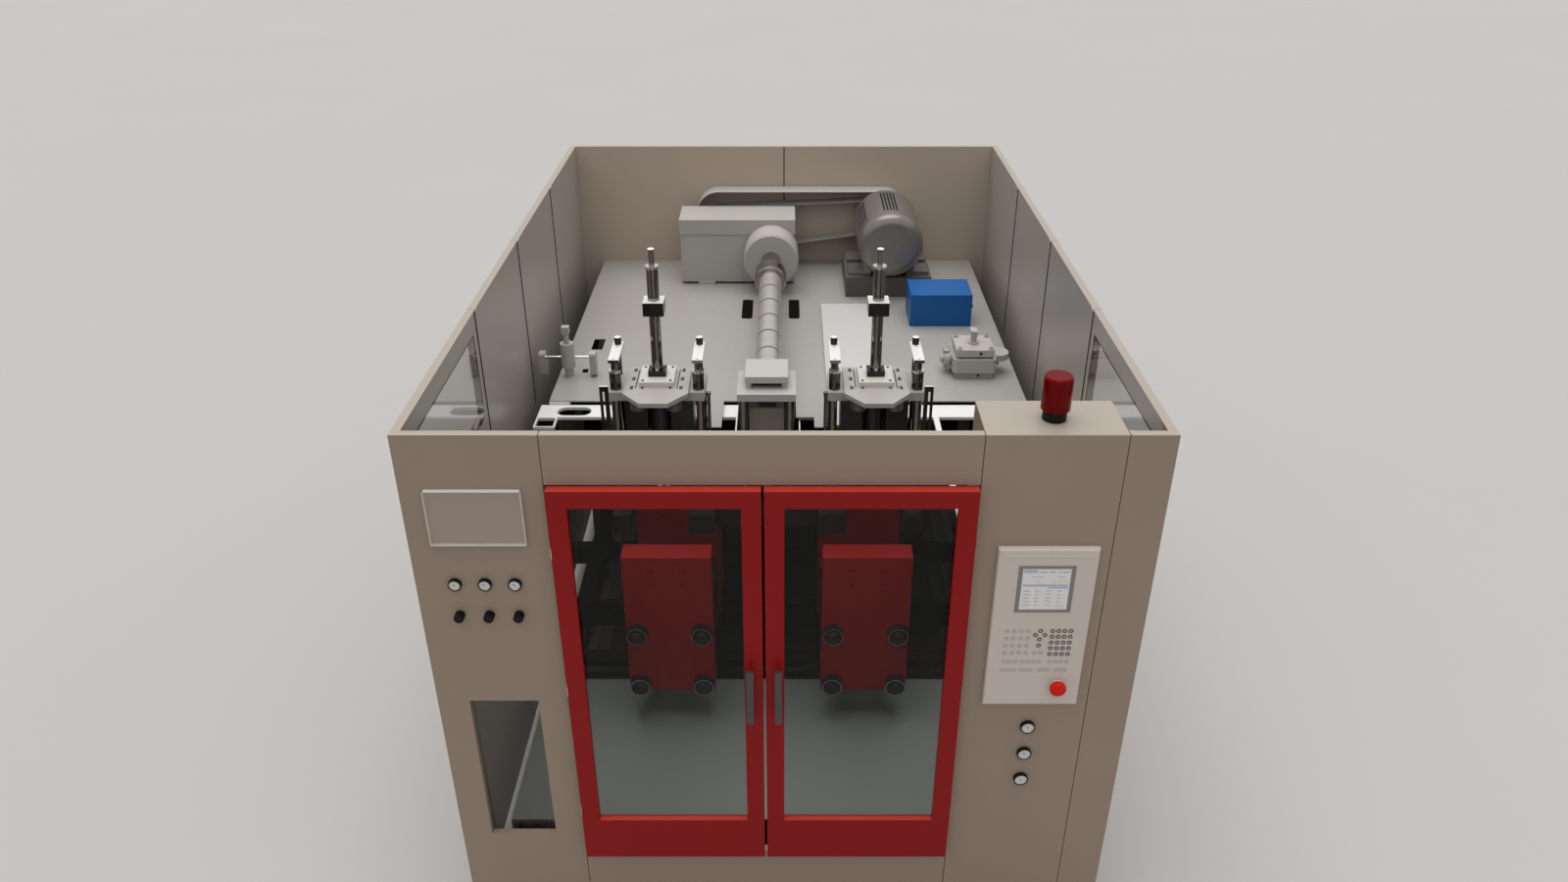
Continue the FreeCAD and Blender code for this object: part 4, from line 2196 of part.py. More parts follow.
def balance_pump():
    """A small upright cylinder with a rod across it that carries a block at each end."""
    base = rod("pump_spigot", "z", "pump_foot_radius", span("deck_top", "pump_foot"), ("pump_x", "pump_y"))
    axis = ("pump_x", "pump_y")
    tip_z = "deck_top + pump_tip_top - pump_tip_block"
    barrel = rod("pump_barrel", "z", "pump_radius", ("deck_top + pump_foot", "deck_top + pump_top"), axis)
    tip = rod("pump_tip", "z", "pump_tip_radius", ("deck_top + pump_top", tip_z), axis)
    head = block(
        "pump_head", around("pump_x", "pump_tip_block / 2"), around("pump_y", "pump_tip_block / 2"),
        (tip_z, "deck_top + pump_tip_top"),
    )
    rod_z = "deck_top + pump_rod_height"
    bar = rod("pump_bar", "x", "pump_rod_radius", around("pump_x", "pump_rod_half"), ("pump_y", rod_z))
    ends = []
    for k, s in enumerate(("-", "+")):
        body = new_body("pump_end_%d" % k)
        sketch = new_sketch(body, "pump_end_outline_%d" % k, "YZ_Plane")
        rectangle(sketch, around("0", "pump_end_depth / 2"), ("-pump_end_drop", "pump_end_rise"))
        pad(body, sketch, "pump_end_pad_%d" % k, "pump_end_width", midplane=True)
        rounded(
            body, "pump_end_corners_%d" % k, "pump_end_corner",
            lambda e: len(e.Vertexes) == 2 and abs(e.Vertexes[0].X - e.Vertexes[1].X) > 1,
        )
        put(body, "pump_x %s (pump_rod_half - pump_end_width / 2)" % s, "pump_y", rod_z)
        ends.append(body)
    node("balance_pump", joined("balance_pump", base, barrel, tip, head, bar, *ends))


def hydraulic_unit():
    """The oil tank on the sills with its lid, and the pump motor that lies on it."""
    x = ("tank_left", "tank_right")
    y = ("tank_front", "tank_rear")
    top = "sill_top + tank_height"
    tank = block("oil_tank", x, y, ("sill_top", top))
    lip = "tank_lid_lip"
    lid_x = (x[0] + " - " + lip, x[1] + " + " + lip)
    lid_y = (y[0] + " - " + lip, y[1] + " + " + lip)
    lid = block("tank_lid", lid_x, lid_y, span(top, "tank_lid"))
    middle_y = "(tank_front + tank_rear) / 2"
    motor_z = "%s + tank_lid + pump_motor_foot + pump_motor_radius" % top
    motor_x = around("axis_x", "pump_motor_length / 2")
    motor = rod("pump_motor", "x", "pump_motor_radius", motor_x, (middle_y, motor_z))
    saddle = block(
        "pump_saddle", around("axis_x", "pump_saddle_half"), around(middle_y, "pump_motor_radius"),
        ("%s + tank_lid" % top, "%s + tank_lid + pump_motor_foot + pump_saddle_rise" % top),
    )
    node("hydraulic_unit", group("hydraulic_unit", tank, lid, joined("pump_set", motor, saddle)))


# ---- build, check and write -----------------------------------------------------------------

def build():
    front_panels()
    side_panels("left", "-1", "panel_thickness")
    side_panels("right", "1", "corner_return")
    rear_panels()
    window_panes()
    control_cabinet()
    door("left")
    door("right")
    door_hinges()
    operator_panel()
    stop_button()
    pressure_gauges()
    regulator_knobs()
    beacon()
    machine_frame()
    drip_tray()
    levelling_feet()
    deck_plate()
    gearbox()
    thrust_housing()
    extruder_barrel()
    heater_bands()
    extruder_screw()
    pulley("gearbox_pulley", "input_x", "input_z", "input_pulley_radius", "input_shaft_radius", "gearbox_rear")
    shaft_end = "motor_rear - motor_shaft_depth + motor_shaft_gap"
    pulley("motor_pulley", "motor_x", "motor_z", "motor_pulley_radius", "motor_shaft_radius", shaft_end)
    drive_belt()
    belt_guard()
    drive_motor()
    motor_base()
    head_platform()
    die_head()
    blow_station("left", "-1")
    blow_station("right", "1")
    bed_rails()
    clamp_unit("left", "-1")
    clamp_unit("right", "1")
    junction_box()
    transfer_valve()
    balance_pump()
    hydraulic_unit()


def check():
    doc.recompute()
    wrong = [thing.Name for thing in doc.Objects if "Invalid" in thing.State or "Error" in thing.State]
    for label, thing in NODES:
        shape = thing.Shape
        if shape.isNull() or not shape.isValid() or not shape.Solids:
            wrong.append(label + " (no valid solid)")
    if wrong:
        raise RuntimeError("did not recompute: " + ", ".join(wrong))


def write():
    os.makedirs("parts", exist_ok=True)
    for label, thing in NODES:
        thing.Shape.exportStep("parts/%s.step" % label)
        print("%-24s %3d solids %10.1f cm3" % (label, len(thing.Shape.Solids), thing.Shape.Volume / 1000))


fill_sheet()
build()
check()
write()
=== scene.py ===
import math
import bmesh
import bpy
from mathutils import Matrix, Vector


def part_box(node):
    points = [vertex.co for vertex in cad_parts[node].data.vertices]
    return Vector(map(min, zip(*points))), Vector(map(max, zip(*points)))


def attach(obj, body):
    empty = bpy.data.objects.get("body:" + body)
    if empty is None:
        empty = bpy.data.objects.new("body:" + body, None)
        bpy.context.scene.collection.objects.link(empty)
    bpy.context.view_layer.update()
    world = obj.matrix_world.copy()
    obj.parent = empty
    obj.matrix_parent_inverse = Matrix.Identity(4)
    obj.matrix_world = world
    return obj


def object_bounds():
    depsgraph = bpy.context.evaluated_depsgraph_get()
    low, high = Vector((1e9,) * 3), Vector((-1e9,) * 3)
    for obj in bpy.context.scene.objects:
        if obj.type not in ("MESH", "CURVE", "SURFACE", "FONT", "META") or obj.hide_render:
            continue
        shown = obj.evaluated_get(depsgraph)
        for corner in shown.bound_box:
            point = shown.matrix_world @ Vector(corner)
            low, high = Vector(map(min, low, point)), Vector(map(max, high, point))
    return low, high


# Looks of the blow moulding machine: materials for every CAD node, and the small trim that the
# solids leave out. Lengths are in metres; most places are written in millimetres and turned into
# metres by MM, level(), slab() or zone(). +X is the operator's right, +Y runs from the doors to
# the back and +Z is up.

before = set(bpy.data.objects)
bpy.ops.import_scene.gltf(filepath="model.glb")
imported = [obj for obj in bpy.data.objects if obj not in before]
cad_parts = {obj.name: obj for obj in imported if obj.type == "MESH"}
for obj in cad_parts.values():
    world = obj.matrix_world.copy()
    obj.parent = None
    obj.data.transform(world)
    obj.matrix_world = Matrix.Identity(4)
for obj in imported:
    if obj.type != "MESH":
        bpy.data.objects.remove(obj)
cad_low, cad_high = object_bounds()

MM = 0.001
PROUD = 0.4 * MM
SEGMENTS = 40


# ---- materials ------------------------------------------------------------------------------

def fresh(name):
    """A new material with its nodes, its links and its main shader."""
    material = bpy.data.materials.new(name)
    material.use_nodes = True
    tree = material.node_tree
    return material, tree.nodes, tree.links, tree.nodes["Principled BSDF"]


def noise(nodes, links, scale, stretch=(1, 1, 1), detail=3.0):
    """A noise pattern in the object's own space, stretched along its axes."""
    place = nodes.new("ShaderNodeTexCoord")
    mapping = nodes.new("ShaderNodeMapping")
    mapping.inputs["Scale"].default_value = stretch
    pattern = nodes.new("ShaderNodeTexNoise")
    pattern.inputs["Scale"].default_value = scale
    pattern.inputs["Detail"].default_value = detail
    links.new(place.outputs["Object"], mapping.inputs["Vector"])
    links.new(mapping.outputs["Vector"], pattern.inputs["Vector"])
    return pattern.outputs["Fac"]


def between(nodes, links, source, low, high):
    """The source, spread over a range of numbers."""
    spread = nodes.new("ShaderNodeMapRange")
    spread.inputs["From Min"].default_value = 0.3
    spread.inputs["From Max"].default_value = 0.7
    spread.inputs["To Min"].default_value = low
    spread.inputs["To Max"].default_value = high
    links.new(source, spread.inputs["Value"])
    return spread.outputs["Result"]


def inside(nodes, links, low, high):
    """One within a box of the object's own space and zero outside it; None leaves a side open."""
    place = nodes.new("ShaderNodeTexCoord")
    split = nodes.new("ShaderNodeSeparateXYZ")
    links.new(place.outputs["Object"], split.inputs["Vector"])
    mask = None
    for axis, lower, upper in zip("XYZ", low, high):
        for edge, test in ((lower, "GREATER_THAN"), (upper, "LESS_THAN")):
            if edge is None:
                continue
            step = nodes.new("ShaderNodeMath")
            step.operation = test
            step.inputs[1].default_value = edge
            links.new(split.outputs[axis], step.inputs[0])
            if mask is None:
                mask = step.outputs["Value"]
                continue
            both = nodes.new("ShaderNodeMath")
            both.operation = "MULTIPLY"
            links.new(mask, both.inputs[0])
            links.new(step.outputs["Value"], both.inputs[1])
            mask = both.outputs["Value"]
    return mask


def blend_number(nodes, links, mask, low, high):
    """A number that turns from low to high where the mask is one; low may be a socket."""
    mix = nodes.new("ShaderNodeMix")
    links.new(mask, mix.inputs["Factor"])
    if isinstance(low, float):
        mix.inputs["A"].default_value = low
    else:
        links.new(low, mix.inputs["A"])
    mix.inputs["B"].default_value = high
    return mix.outputs["Result"]


def surface(name, colour, rough, metallic=0.0, vary=0.05, scale=2.5, grain=0.03, grain_scale=350,
            stretch=(1, 1, 1), zones=(), shine=0.5):
    """A painted, plastic or metal surface with a slight cloud in its colour and a fine grain.

    A zone is a box, in metres, with its own colour, roughness and metallic number."""
    material, nodes, links, shader = fresh(name)
    cloud = noise(nodes, links, scale)
    mix = nodes.new("ShaderNodeMix")
    mix.data_type = "RGBA"
    mix.inputs["A"].default_value = [max(0.0, c * (1 - vary)) for c in colour] + [1]
    mix.inputs["B"].default_value = [min(1.0, c * (1 + vary)) for c in colour] + [1]
    links.new(cloud, mix.inputs["Factor"])
    fine = noise(nodes, links, grain_scale, stretch, detail=2.0)
    shade = mix.outputs["Result"]
    gloss = between(nodes, links, fine, rough - 0.05, rough + 0.05)
    metal = metallic
    for low, high, zone_colour, zone_rough, zone_metallic in zones:
        mask = inside(nodes, links, low, high)
        over = nodes.new("ShaderNodeMix")
        over.data_type = "RGBA"
        links.new(mask, over.inputs["Factor"])
        links.new(shade, over.inputs["A"])
        over.inputs["B"].default_value = list(zone_colour) + [1]
        shade = over.outputs["Result"]
        gloss = blend_number(nodes, links, mask, gloss, zone_rough)
        if metal is not metallic or zone_metallic != metallic:
            metal = blend_number(nodes, links, mask, metal, zone_metallic)
    links.new(shade, shader.inputs["Base Color"])
    links.new(gloss, shader.inputs["Roughness"])
    if metal is metallic:
        shader.inputs["Metallic"].default_value = metallic
    else:
        links.new(metal, shader.inputs["Metallic"])
    bump = nodes.new("ShaderNodeBump")
    bump.inputs["Strength"].default_value = grain
    bump.inputs["Distance"].default_value = MM
    links.new(fine, bump.inputs["Height"])
    links.new(bump.outputs["Normal"], shader.inputs["Normal"])
    shader.inputs["Specular IOR Level"].default_value = shine
    return material


def clear(name, tint, rough=0.02, thin=1.0, bend=1.45, film=1.0):
    """A see-through pane with faint smears; film is how much of it hides what lies behind."""
    material, nodes, links, shader = fresh(name)
    smear = noise(nodes, links, 6.0)
    links.new(between(nodes, links, smear, rough, rough + 0.02), shader.inputs["Roughness"])
    shader.inputs["Base Color"].default_value = list(tint) + [1]
    shader.inputs["Transmission Weight"].default_value = thin
    shader.inputs["IOR"].default_value = bend
    shader.inputs["Alpha"].default_value = film
    return material


# The enclosure's front face and top. ROOF_HEIGHT is the same top in millimetres above the floor.
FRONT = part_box("control_cabinet")[0].y
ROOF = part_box("control_cabinet")[1].z
ROOF_HEIGHT = 2350

# How deep a zone reaches below the face that it colours, alone or past a wall's lapping strip.
EDGE = 0.6 * MM
LAP = 3 * MM + EDGE

PANEL_DEPTH = 32 * MM
DOOR_STILE = 68 * MM
DOOR_RAIL = 207 * MM

# The gaps between the side sheets, in millimetres behind the front, and the laps over them inside.
SIDE_SEAMS = (1083, 1939, 2807)
SEAM_GAP = 3 * MM
LAP_HALF = 20 * MM
LINE_WIDTH = 2 * MM

# The blow stations, their towers and tie bars, the valve and the motor's air slots. The slots
# stand in groups round the motor, at these angles.
STATION_Y = FRONT + 1240 * MM
TOWER_OFFSET = 180
BAR_OFFSET = 149
BAR_HEIGHTS = (527, 825)
VALVE_X = 958 * MM
VALVE_Y = FRONT + 2022 * MM
SLOT_START = FRONT + 3082 * MM
SLOT_LENGTH = 341 * MM
SLOT_RADIUS = 180 * MM
SLOT_GROUPS = (90, 150)
SLOT_COUNT = 5
SLOT_STEP = 5.7


def level(height):
    """The height of a place that is so many millimetres above the floor, on the CAD's own scale."""
    return ROOF - (ROOF_HEIGHT - height) * MM


def slab(low, high, *look):
    """A zone between two heights in millimetres."""
    bottom = None if low is None else level(low)
    top = None if high is None else level(high)
    return ((None, None, bottom), (None, None, top)) + look


# A look is a colour, a roughness and a metallic number.
# The white top is a painted highlight: the top faces of dark and bright metal parts, made white
# where the light falls on them.
WHITE_TOP_HIGHLIGHT = ((0.70, 0.69, 0.67), 0.35, 0.0)
INK_BLACK = ((0.010, 0.009, 0.008), 0.30, 0.0)
MIRROR = ((0.24, 0.225, 0.21), 0.10, 1.0)
DARK_MIRROR = ((0.12, 0.11, 0.10), 0.14, 1.0)

POWDER = (0.300, 0.226, 0.167)

# The upward edges of the sheets, painted lighter because the photograph shows them catching light.
TOP_EDGE = ((None, None, ROOF - EDGE), (None, None, None), (0.345, 0.30, 0.25), 0.40, 0.0)


def powder_coat(name, zones):
    """The enclosure's fine-grained sheet paint."""
    return surface(name, POWDER, 0.45, vary=0.04, grain=0.06, grain_scale=500, zones=zones)


def wall_look(node, face, colour):
    """Powder coat outside; the face towards the machine is smoother, and its paler, greyer colour
    is painted light.
    """
    low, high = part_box(node)
    edges = {
        "right": ((high.x - LAP, None, None), (None, None, None)),
        "left": ((None, None, None), (low.x + LAP, None, None)),
        "front": ((None, None, None), (None, low.y + LAP, None)),
    }[face]
    return powder_coat(node + "_coat", [edges + (colour, 0.30, 0.0), TOP_EDGE])


# The paler, greyer colours on the faces towards the machine, for the side walls and the rear wall,
# are painted light on the same powder coat.
SIDE_INSIDE_PAINTED_LIGHT = (0.40, 0.36, 0.315)
PANEL = powder_coat("warm_grey_powder_coat", [TOP_EDGE])
LEFT_WALL = wall_look("side_panels_left", "right", SIDE_INSIDE_PAINTED_LIGHT)
RIGHT_WALL = wall_look("side_panels_right", "left", SIDE_INSIDE_PAINTED_LIGHT)
REAR_WALL = wall_look("rear_panels", "front", (0.49, 0.405, 0.325))


def door_highlights():
    """Painted highlights on the upward edges of both doors: the rail under each pane, and the top.
    """
    zones = []
    bright = ((0.50, 0.045, 0.03), 0.35, 0.0)
    for side in ("left", "right"):
        low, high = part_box("door_frame_" + side)
        rail = low.z + DOOR_RAIL
        ends = (low.x + DOOR_STILE, None, rail - EDGE), (high.x - DOOR_STILE, None, rail + EDGE)
        zones.append(ends + bright)
    zones.append(((None, None, high.z - EDGE), (None, None, None)) + bright)
    return zones


# The doors' upward edges carry a painted highlight in a lighter red.
RED = surface("gloss_red_paint", (0.27, 0.003, 0.003), 0.42, grain=0.03, shine=0.2,
              zones=door_highlights())
PLATEN_RED = surface("satin_red_paint", (0.30, 0.006, 0.005), 0.45, vary=0.08, shine=0.3)
TINTED = clear("smoked_pane", (0.70, 0.70, 0.67), bend=1.2)
WINDOW = clear("clear_pane", (0.52, 0.51, 0.49), bend=1.3)
BLACK = surface("matt_black_plastic", (0.007, 0.007, 0.007), 0.45, vary=0.1, shine=0.15)
DARK_GREY = surface("dark_grey_handle", (0.075, 0.072, 0.068), 0.35, metallic=0.4)
HMI = surface("ivory_panel_paint", (0.60, 0.535, 0.47), 0.42, grain=0.04)
# The frame is painted near black below its white machined tops as painted shade of the unlit
# interior; its real paint there is not known.
FRAME_PAINT = surface("white_frame_paint_and_painted_shade", (0.012, 0.012, 0.011), 0.5, vary=0.15, shine=0.15,
                      zones=[slab(1590, None, (0.74, 0.74, 0.735), 0.36, 0.0)])
DECK = surface("light_grey_deck", (0.328, 0.313, 0.295), 0.30, vary=0.05, scale=1.4,
               zones=[slab(1625.6, None, (0.50, 0.492, 0.478), 0.30, 0.0)])
CASTING = surface("grey_machine_paint", (0.40, 0.38, 0.35), 0.40, vary=0.05,
                  grain=0.08, grain_scale=180)
MOTOR = surface("grey_motor_enamel", (0.20, 0.185, 0.172), 0.30, metallic=0.5, grain=0.01)
MOTOR_BASE = surface("dark_base_paint", (0.085, 0.075, 0.066), 0.5)
GUARD = surface("guard_paint", (0.40, 0.385, 0.36), 0.42)
BLUE = surface("blue_box_paint", (0.008, 0.095, 0.30), 0.38, grain=0.05, shine=0.25)
BRUSHED = surface("brushed_steel", (0.56, 0.55, 0.53), 0.3, metallic=1.0, stretch=(1, 40, 1))
TURNED = surface("turned_steel", (0.34, 0.32, 0.30), 0.22, metallic=1.0, stretch=(1, 1, 30))
# The blow rods' top faces carry a painted highlight.
CHROME = surface("hard_chrome", (0.34, 0.33, 0.32), 0.10, metallic=1.0, vary=0.02, grain=0.01,
                 zones=[slab(2552, None, *WHITE_TOP_HIGHLIGHT)])
BLACK_STEEL = surface("black_polished_steel", (0.022, 0.022, 0.021), 0.16, metallic=0.3)
DARK_STEEL = surface("oiled_dark_steel", (0.085, 0.082, 0.078), 0.3, metallic=0.85)
# The recess under the head platform's cap, between its posts, is painted near black as painted
# shade.
HEAD_RECESS_SHADE = ((-138.6 * MM, FRONT + 1204 * MM, level(1938.6)), (-13.4 * MM, None, level(1965.4)),
               (0.02, 0.019, 0.018), 0.4, 0.0)
PLATFORM = surface("ivory_head_plates", (0.415, 0.397, 0.375), 0.38, vary=0.04,
                   zones=[slab(None, 1904, *MIRROR), HEAD_RECESS_SHADE])
HEAD = surface("grey_brown_head", (0.20, 0.175, 0.155), 0.42, vary=0.08,
               zones=[slab(1851, None, *INK_BLACK), slab(None, 1469, *MIRROR)])
BAND = surface("heater_band_sheet", (0.46, 0.435, 0.41), 0.28, metallic=0.5, vary=0.06,
               stretch=(1, 12, 1))
SEAM = surface("seam_shadow", (0.02, 0.017, 0.015), 0.6, shine=0.2)
RUBBER = surface("belt_rubber", (0.30, 0.28, 0.26), 0.6, vary=0.1)
IRON = surface("cast_pulley", (0.16, 0.155, 0.15), 0.5, metallic=0.5, grain=0.12, grain_scale=120)
TRAY = surface("grey_green_tray", (0.19, 0.214, 0.204), 0.45, vary=0.1, scale=1.2)
# The carriages and the hydraulic unit are painted near black as painted shade of the unlit
# interior; their real paint is not known.
TANK = surface("tank_painted_shade", (0.014, 0.014, 0.013), 0.5, shine=0.12)
STOP_RED = surface("stop_button_red", (0.66, 0.006, 0.003), 0.35, vary=0.03, shine=0.2)
DIAL = surface("dial_white", (0.78, 0.77, 0.74), 0.5, vary=0.02)
INK = surface("dial_ink", (0.03, 0.03, 0.03), 0.6)
KEY_RING = surface("key_outline", (0.12, 0.105, 0.09), 0.5)
KEY_FACE = surface("key_face", (0.46, 0.42, 0.375), 0.5)
KEY_DARK = surface("dark_key", (0.06, 0.055, 0.05), 0.45)
BEZEL = surface("screen_bezel", (0.215, 0.195, 0.185), 0.4)
SCREEN = surface("screen_face", (0.78, 0.75, 0.76), 0.3, vary=0.02)
SCREEN_BAR = surface("screen_bar", (0.44, 0.48, 0.62), 0.3)
SCREEN_WARM = surface("screen_warm", (0.80, 0.66, 0.52), 0.3)
SCREEN_INK = surface("screen_ink", (0.48, 0.46, 0.46), 0.35)
LENS = clear("red_lens", (0.27, 0.0, 0.0), rough=0.06, thin=0.55, bend=1.2)
ACRYLIC = clear("clear_acrylic", (0.78, 0.75, 0.71), rough=0.10, thin=0.0, film=0.22)
SIGN = clear("clear_sign", (0.66, 0.56, 0.48), rough=0.12, thin=0.0, film=0.24)
ACRYLIC_EDGE_HIGHLIGHT = surface("acrylic_edge_highlight", (0.74, 0.72, 0.68), 0.3, vary=0.02)

# The painted shade in the neck under the valve's lid and along the line above its foot, and the
# pump's bright cross rod.
VALVE_SHADE_LINES = [
    slab(1733.5, 1742.5, (0.05, 0.045, 0.04), 0.4, 0.0),
    slab(1655.5, 1659.5, (0.06, 0.055, 0.05), 0.4, 0.0),
]
VALVE = surface("grey_valve_paint", (0.40, 0.38, 0.35), 0.34, vary=0.05, grain=0.08,
                grain_scale=180, zones=VALVE_SHADE_LINES)
PUMP_ROD = [
    ((left * MM, None, level(1716)), (right * MM, None, level(1736)), (0.80, 0.79, 0.77), 0.15, 1.0)
    for left, right in ((-1202, -1124.6), (-1055.4, -978))
]
PUMP = surface("grey_pump_paint", (0.40, 0.38, 0.35), 0.36, vary=0.05, grain=0.08,
               grain_scale=180, zones=PUMP_ROD)


def station_x(side):
    """The X of a station's middle, in metres."""
    low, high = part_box("blow_cylinder_" + side)
    return (low.x + high.x) / 2


def zone(x, y, z, look):
    """A box zone in millimetres: X about a station, Y behind the front and Z above the floor."""
    middle_x, (left, right) = x
    return (
        (middle_x + left * MM, FRONT + y[0] * MM, level(z[0])),
        (middle_x + right * MM, FRONT + y[1] * MM, level(z[1])),
    ) + tuple(look)


def bridge_look(side):
    """Ivory plates on bright columns, with dark guide block, bosses, towers and end bracket; the
    tops of the tower bars, knobs and end bracket carry a painted highlight.
    """
    x = station_x(side)
    outward = -1 if side == "left" else 1
    guide = ((0.020, 0.021, 0.020), 0.35, 0.3)
    bosses = ((0.14, 0.135, 0.13), 0.3, 0.4)
    knob = ((0.02, 0.019, 0.018), 0.25, 0.5)
    zones = [slab(None, 1895.6, *MIRROR)]
    zones.append(zone((x, (-152, 152)), (1204, 1346), (1599, 1895.6), guide))
    zones.append(zone((x, (-114, 114)), (1069, 1139), (1879, 1935.6), bosses))
    for tower in (-TOWER_OFFSET, TOWER_OFFSET):
        across = (x, (tower - 30, tower + 30))
        zones.append(zone(across, (1155, 1365), (1936.6, 2065.6), DARK_MIRROR))
        zones.append(zone(across, (1155, 1220), (2017.6, 2026.6), ((0.75, 0.73, 0.70), 0.15, 1.0)))
        zones.append(zone(across, (1155, 1365), (2065.6, 2080.4), ((0.26, 0.245, 0.23), 0.16, 1.0)))
        zones.append(zone(across, (1155, 1365), (2080.4, 2081.8), WHITE_TOP_HIGHLIGHT))
        zones.append(zone(across, (1310, 1360), (2081.8, 2114.4), knob))
        zones.append(zone(across, (1310, 1360), (2114.4, 2117), WHITE_TOP_HIGHLIGHT))
    ends = sorted((outward * 207.5, outward * 249))
    zones.append(zone((x, ends), (1140, 1156), (1680, 1964.4), INK_BLACK))
    zones.append(zone((x, ends), (1140, 1156), (1964.4, 1967), WHITE_TOP_HIGHLIGHT))
    return surface("station_plates_" + side, (0.372, 0.352, 0.328), 0.36, vary=0.04, zones=zones)


def cylinder_look(side):
    """A dark bright tube on a pale flange, with a black foot and a black block whose top carries a
    painted highlight.
    """
    x = station_x(side)
    black = ((0.030, 0.026, 0.023), 0.16, 0.8)
    zones = [
        slab(None, 1955.6, (0.035, 0.032, 0.029), 0.30, 0.4),
        slab(1955.6, 1980.5, (0.58, 0.555, 0.52), 0.36, 0.0),
        zone((x, (-39.5, 39.5)), (1207, 1273), (1980.5, 2007.6), black),
        zone((x, (-44.6, 44.6)), (1195, 1285), (2267, 2327.4), black),
        zone((x, (-44.6, 44.6)), (1195, 1285), (2327.4, 2328.6), WHITE_TOP_HIGHLIGHT),
        slab(2469, None, (0.72, 0.70, 0.67), 0.2, 1.0),
    ]
    return surface("station_tube_" + side, MIRROR[0], 0.09, metallic=1.0, vary=0.03, grain=0.01,
                   zones=zones)


NODE_LOOKS = {
    PANEL: ["front_panels", "control_cabinet"],
    LEFT_WALL: ["side_panels_left"],
    RIGHT_WALL: ["side_panels_right"],
    REAR_WALL: ["rear_panels"],
    WINDOW: ["window_panes"],
    RED: ["door_frame_left", "door_frame_right"],
    TINTED: ["door_glass_left", "door_glass_right"],
    DARK_GREY: ["door_handle_left", "door_handle_right"],
    BRUSHED: ["door_hinges"],
    HMI: ["hmi_panel"],
    BEZEL: ["hmi_screen"],
    STOP_RED: ["estop_button"],
    BLACK: ["pressure_gauges", "regulator_knob_1", "regulator_knob_2", "regulator_knob_3",
            "beacon_base", "levelling_feet"],
    LENS: ["beacon_lens"],
    FRAME_PAINT: ["machine_frame"],
    TRAY: ["drip_tray"],
    DECK: ["deck_plate"],
    CASTING: ["gearbox_housing", "thrust_housing"],
    VALVE: ["transfer_valve"],
    PUMP: ["balance_pump"],
    TURNED: ["extruder_barrel", "extruder_screw"],
    BAND: ["heater_bands"],
    IRON: ["gearbox_pulley", "motor_pulley"],
    RUBBER: ["drive_belts"],
    GUARD: ["belt_guard"],
    MOTOR: ["drive_motor"],
    MOTOR_BASE: ["motor_base"],
    PLATFORM: ["head_platform"],
    HEAD: ["die_head"],
    bridge_look("left"): ["blow_bridge_left"],
    bridge_look("right"): ["blow_bridge_right"],
    cylinder_look("left"): ["blow_cylinder_left"],
    cylinder_look("right"): ["blow_cylinder_right"],
    # The clamp rails are given the near-black steel as painted shade of the unlit interior.
    BLACK_STEEL: ["tie_bars_left", "tie_bars_right", "clamp_rails"],
    CHROME: ["blow_rod_left", "blow_rod_right"],
    PLATEN_RED: ["front_platen_left", "front_platen_right", "moving_platen_left",
                 "moving_platen_right", "rear_platen_left", "rear_platen_right"],
    TANK: ["clamp_carriage_left", "clamp_carriage_right", "hydraulic_unit"],
    BLUE: ["junction_box"],
}


def dress(thing, material):
    """Give every slot of an object this material."""
    if not thing.material_slots:
        thing.data.materials.append(material)
    for slot in thing.material_slots:
        slot.material = material


for look, names in NODE_LOOKS.items():
    for name in names:
        dress(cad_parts[name], look)


# ---- pieces ---------------------------------------------------------------------------------

def piece(name, mesh, material, body="machine", bevel=0.0):
    """A new object made from a bmesh, riding on a body."""
    data = bpy.data.meshes.new(name)
    mesh.to_mesh(data)
    mesh.free()
    thing = bpy.data.objects.new(name, data)
    bpy.context.scene.collection.objects.link(thing)
    dress(thing, material)
    if bevel:
        round_edges = thing.modifiers.new("round_edges", "BEVEL")
        round_edges.width = bevel
        round_edges.segments = 2
    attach(thing, body)
    return thing


def add_box(mesh, low, high, turn=None):
    """A box between two corners, turned about its own centre if asked."""
    low, high = Vector(low), Vector(high)
    place = Matrix.Translation((low + high) / 2)
    if turn is not None:
        place = place @ turn
    place = place @ Matrix.Diagonal(list(high - low) + [1])
    bmesh.ops.create_cube(mesh, size=1.0, matrix=place)


TURNS = {
    "y": Matrix.Rotation(math.pi / 2, 4, "X"),
    "z": Matrix.Identity(4),
}


def add_disc(mesh, centre, axis, radius, depth):
    """A flat round disc about a centre, its axis along y or z."""
    bmesh.ops.create_cone(
        mesh, cap_ends=True, segments=SEGMENTS, radius1=radius, radius2=radius, depth=depth,
        matrix=Matrix.Translation(centre) @ TURNS[axis],
    )


def add_ring(mesh, centre, outer, inner, depth, segments=28):
    """A flat ring that faces the front."""
    half = depth / 2
    rows = []
    for radius, y in ((inner, -half), (outer, -half), (outer, half), (inner, half)):
        row = []
        for k in range(segments):
            angle = 2 * math.pi * k / segments
            spot = Vector((radius * math.cos(angle), y, radius * math.sin(angle)))
            row.append(mesh.verts.new(Vector(centre) + spot))
        rows.append(row)
    for one, two in zip(rows, rows[1:] + rows[:1]):
        for k in range(segments):
            after = (k + 1) % segments
            mesh.faces.new((one[k], one[after], two[after], two[k]))
    bmesh.ops.recalc_face_normals(mesh, faces=mesh.faces)


def middle(node):
    """The middle of a node's box."""
    low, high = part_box(node)
    return (low + high) / 2


# ---- operator panel -------------------------------------------------------------------------

hmi_low, hmi_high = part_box("hmi_panel")
HMI_FACE = FRONT - 22 * MM


def hmi_spot(x, drop, y=0.0):
    """A place on the operator panel: X in millimetres and the drop below the enclosure's top."""
    return Vector((x * MM, HMI_FACE + y, ROOF - drop * MM))


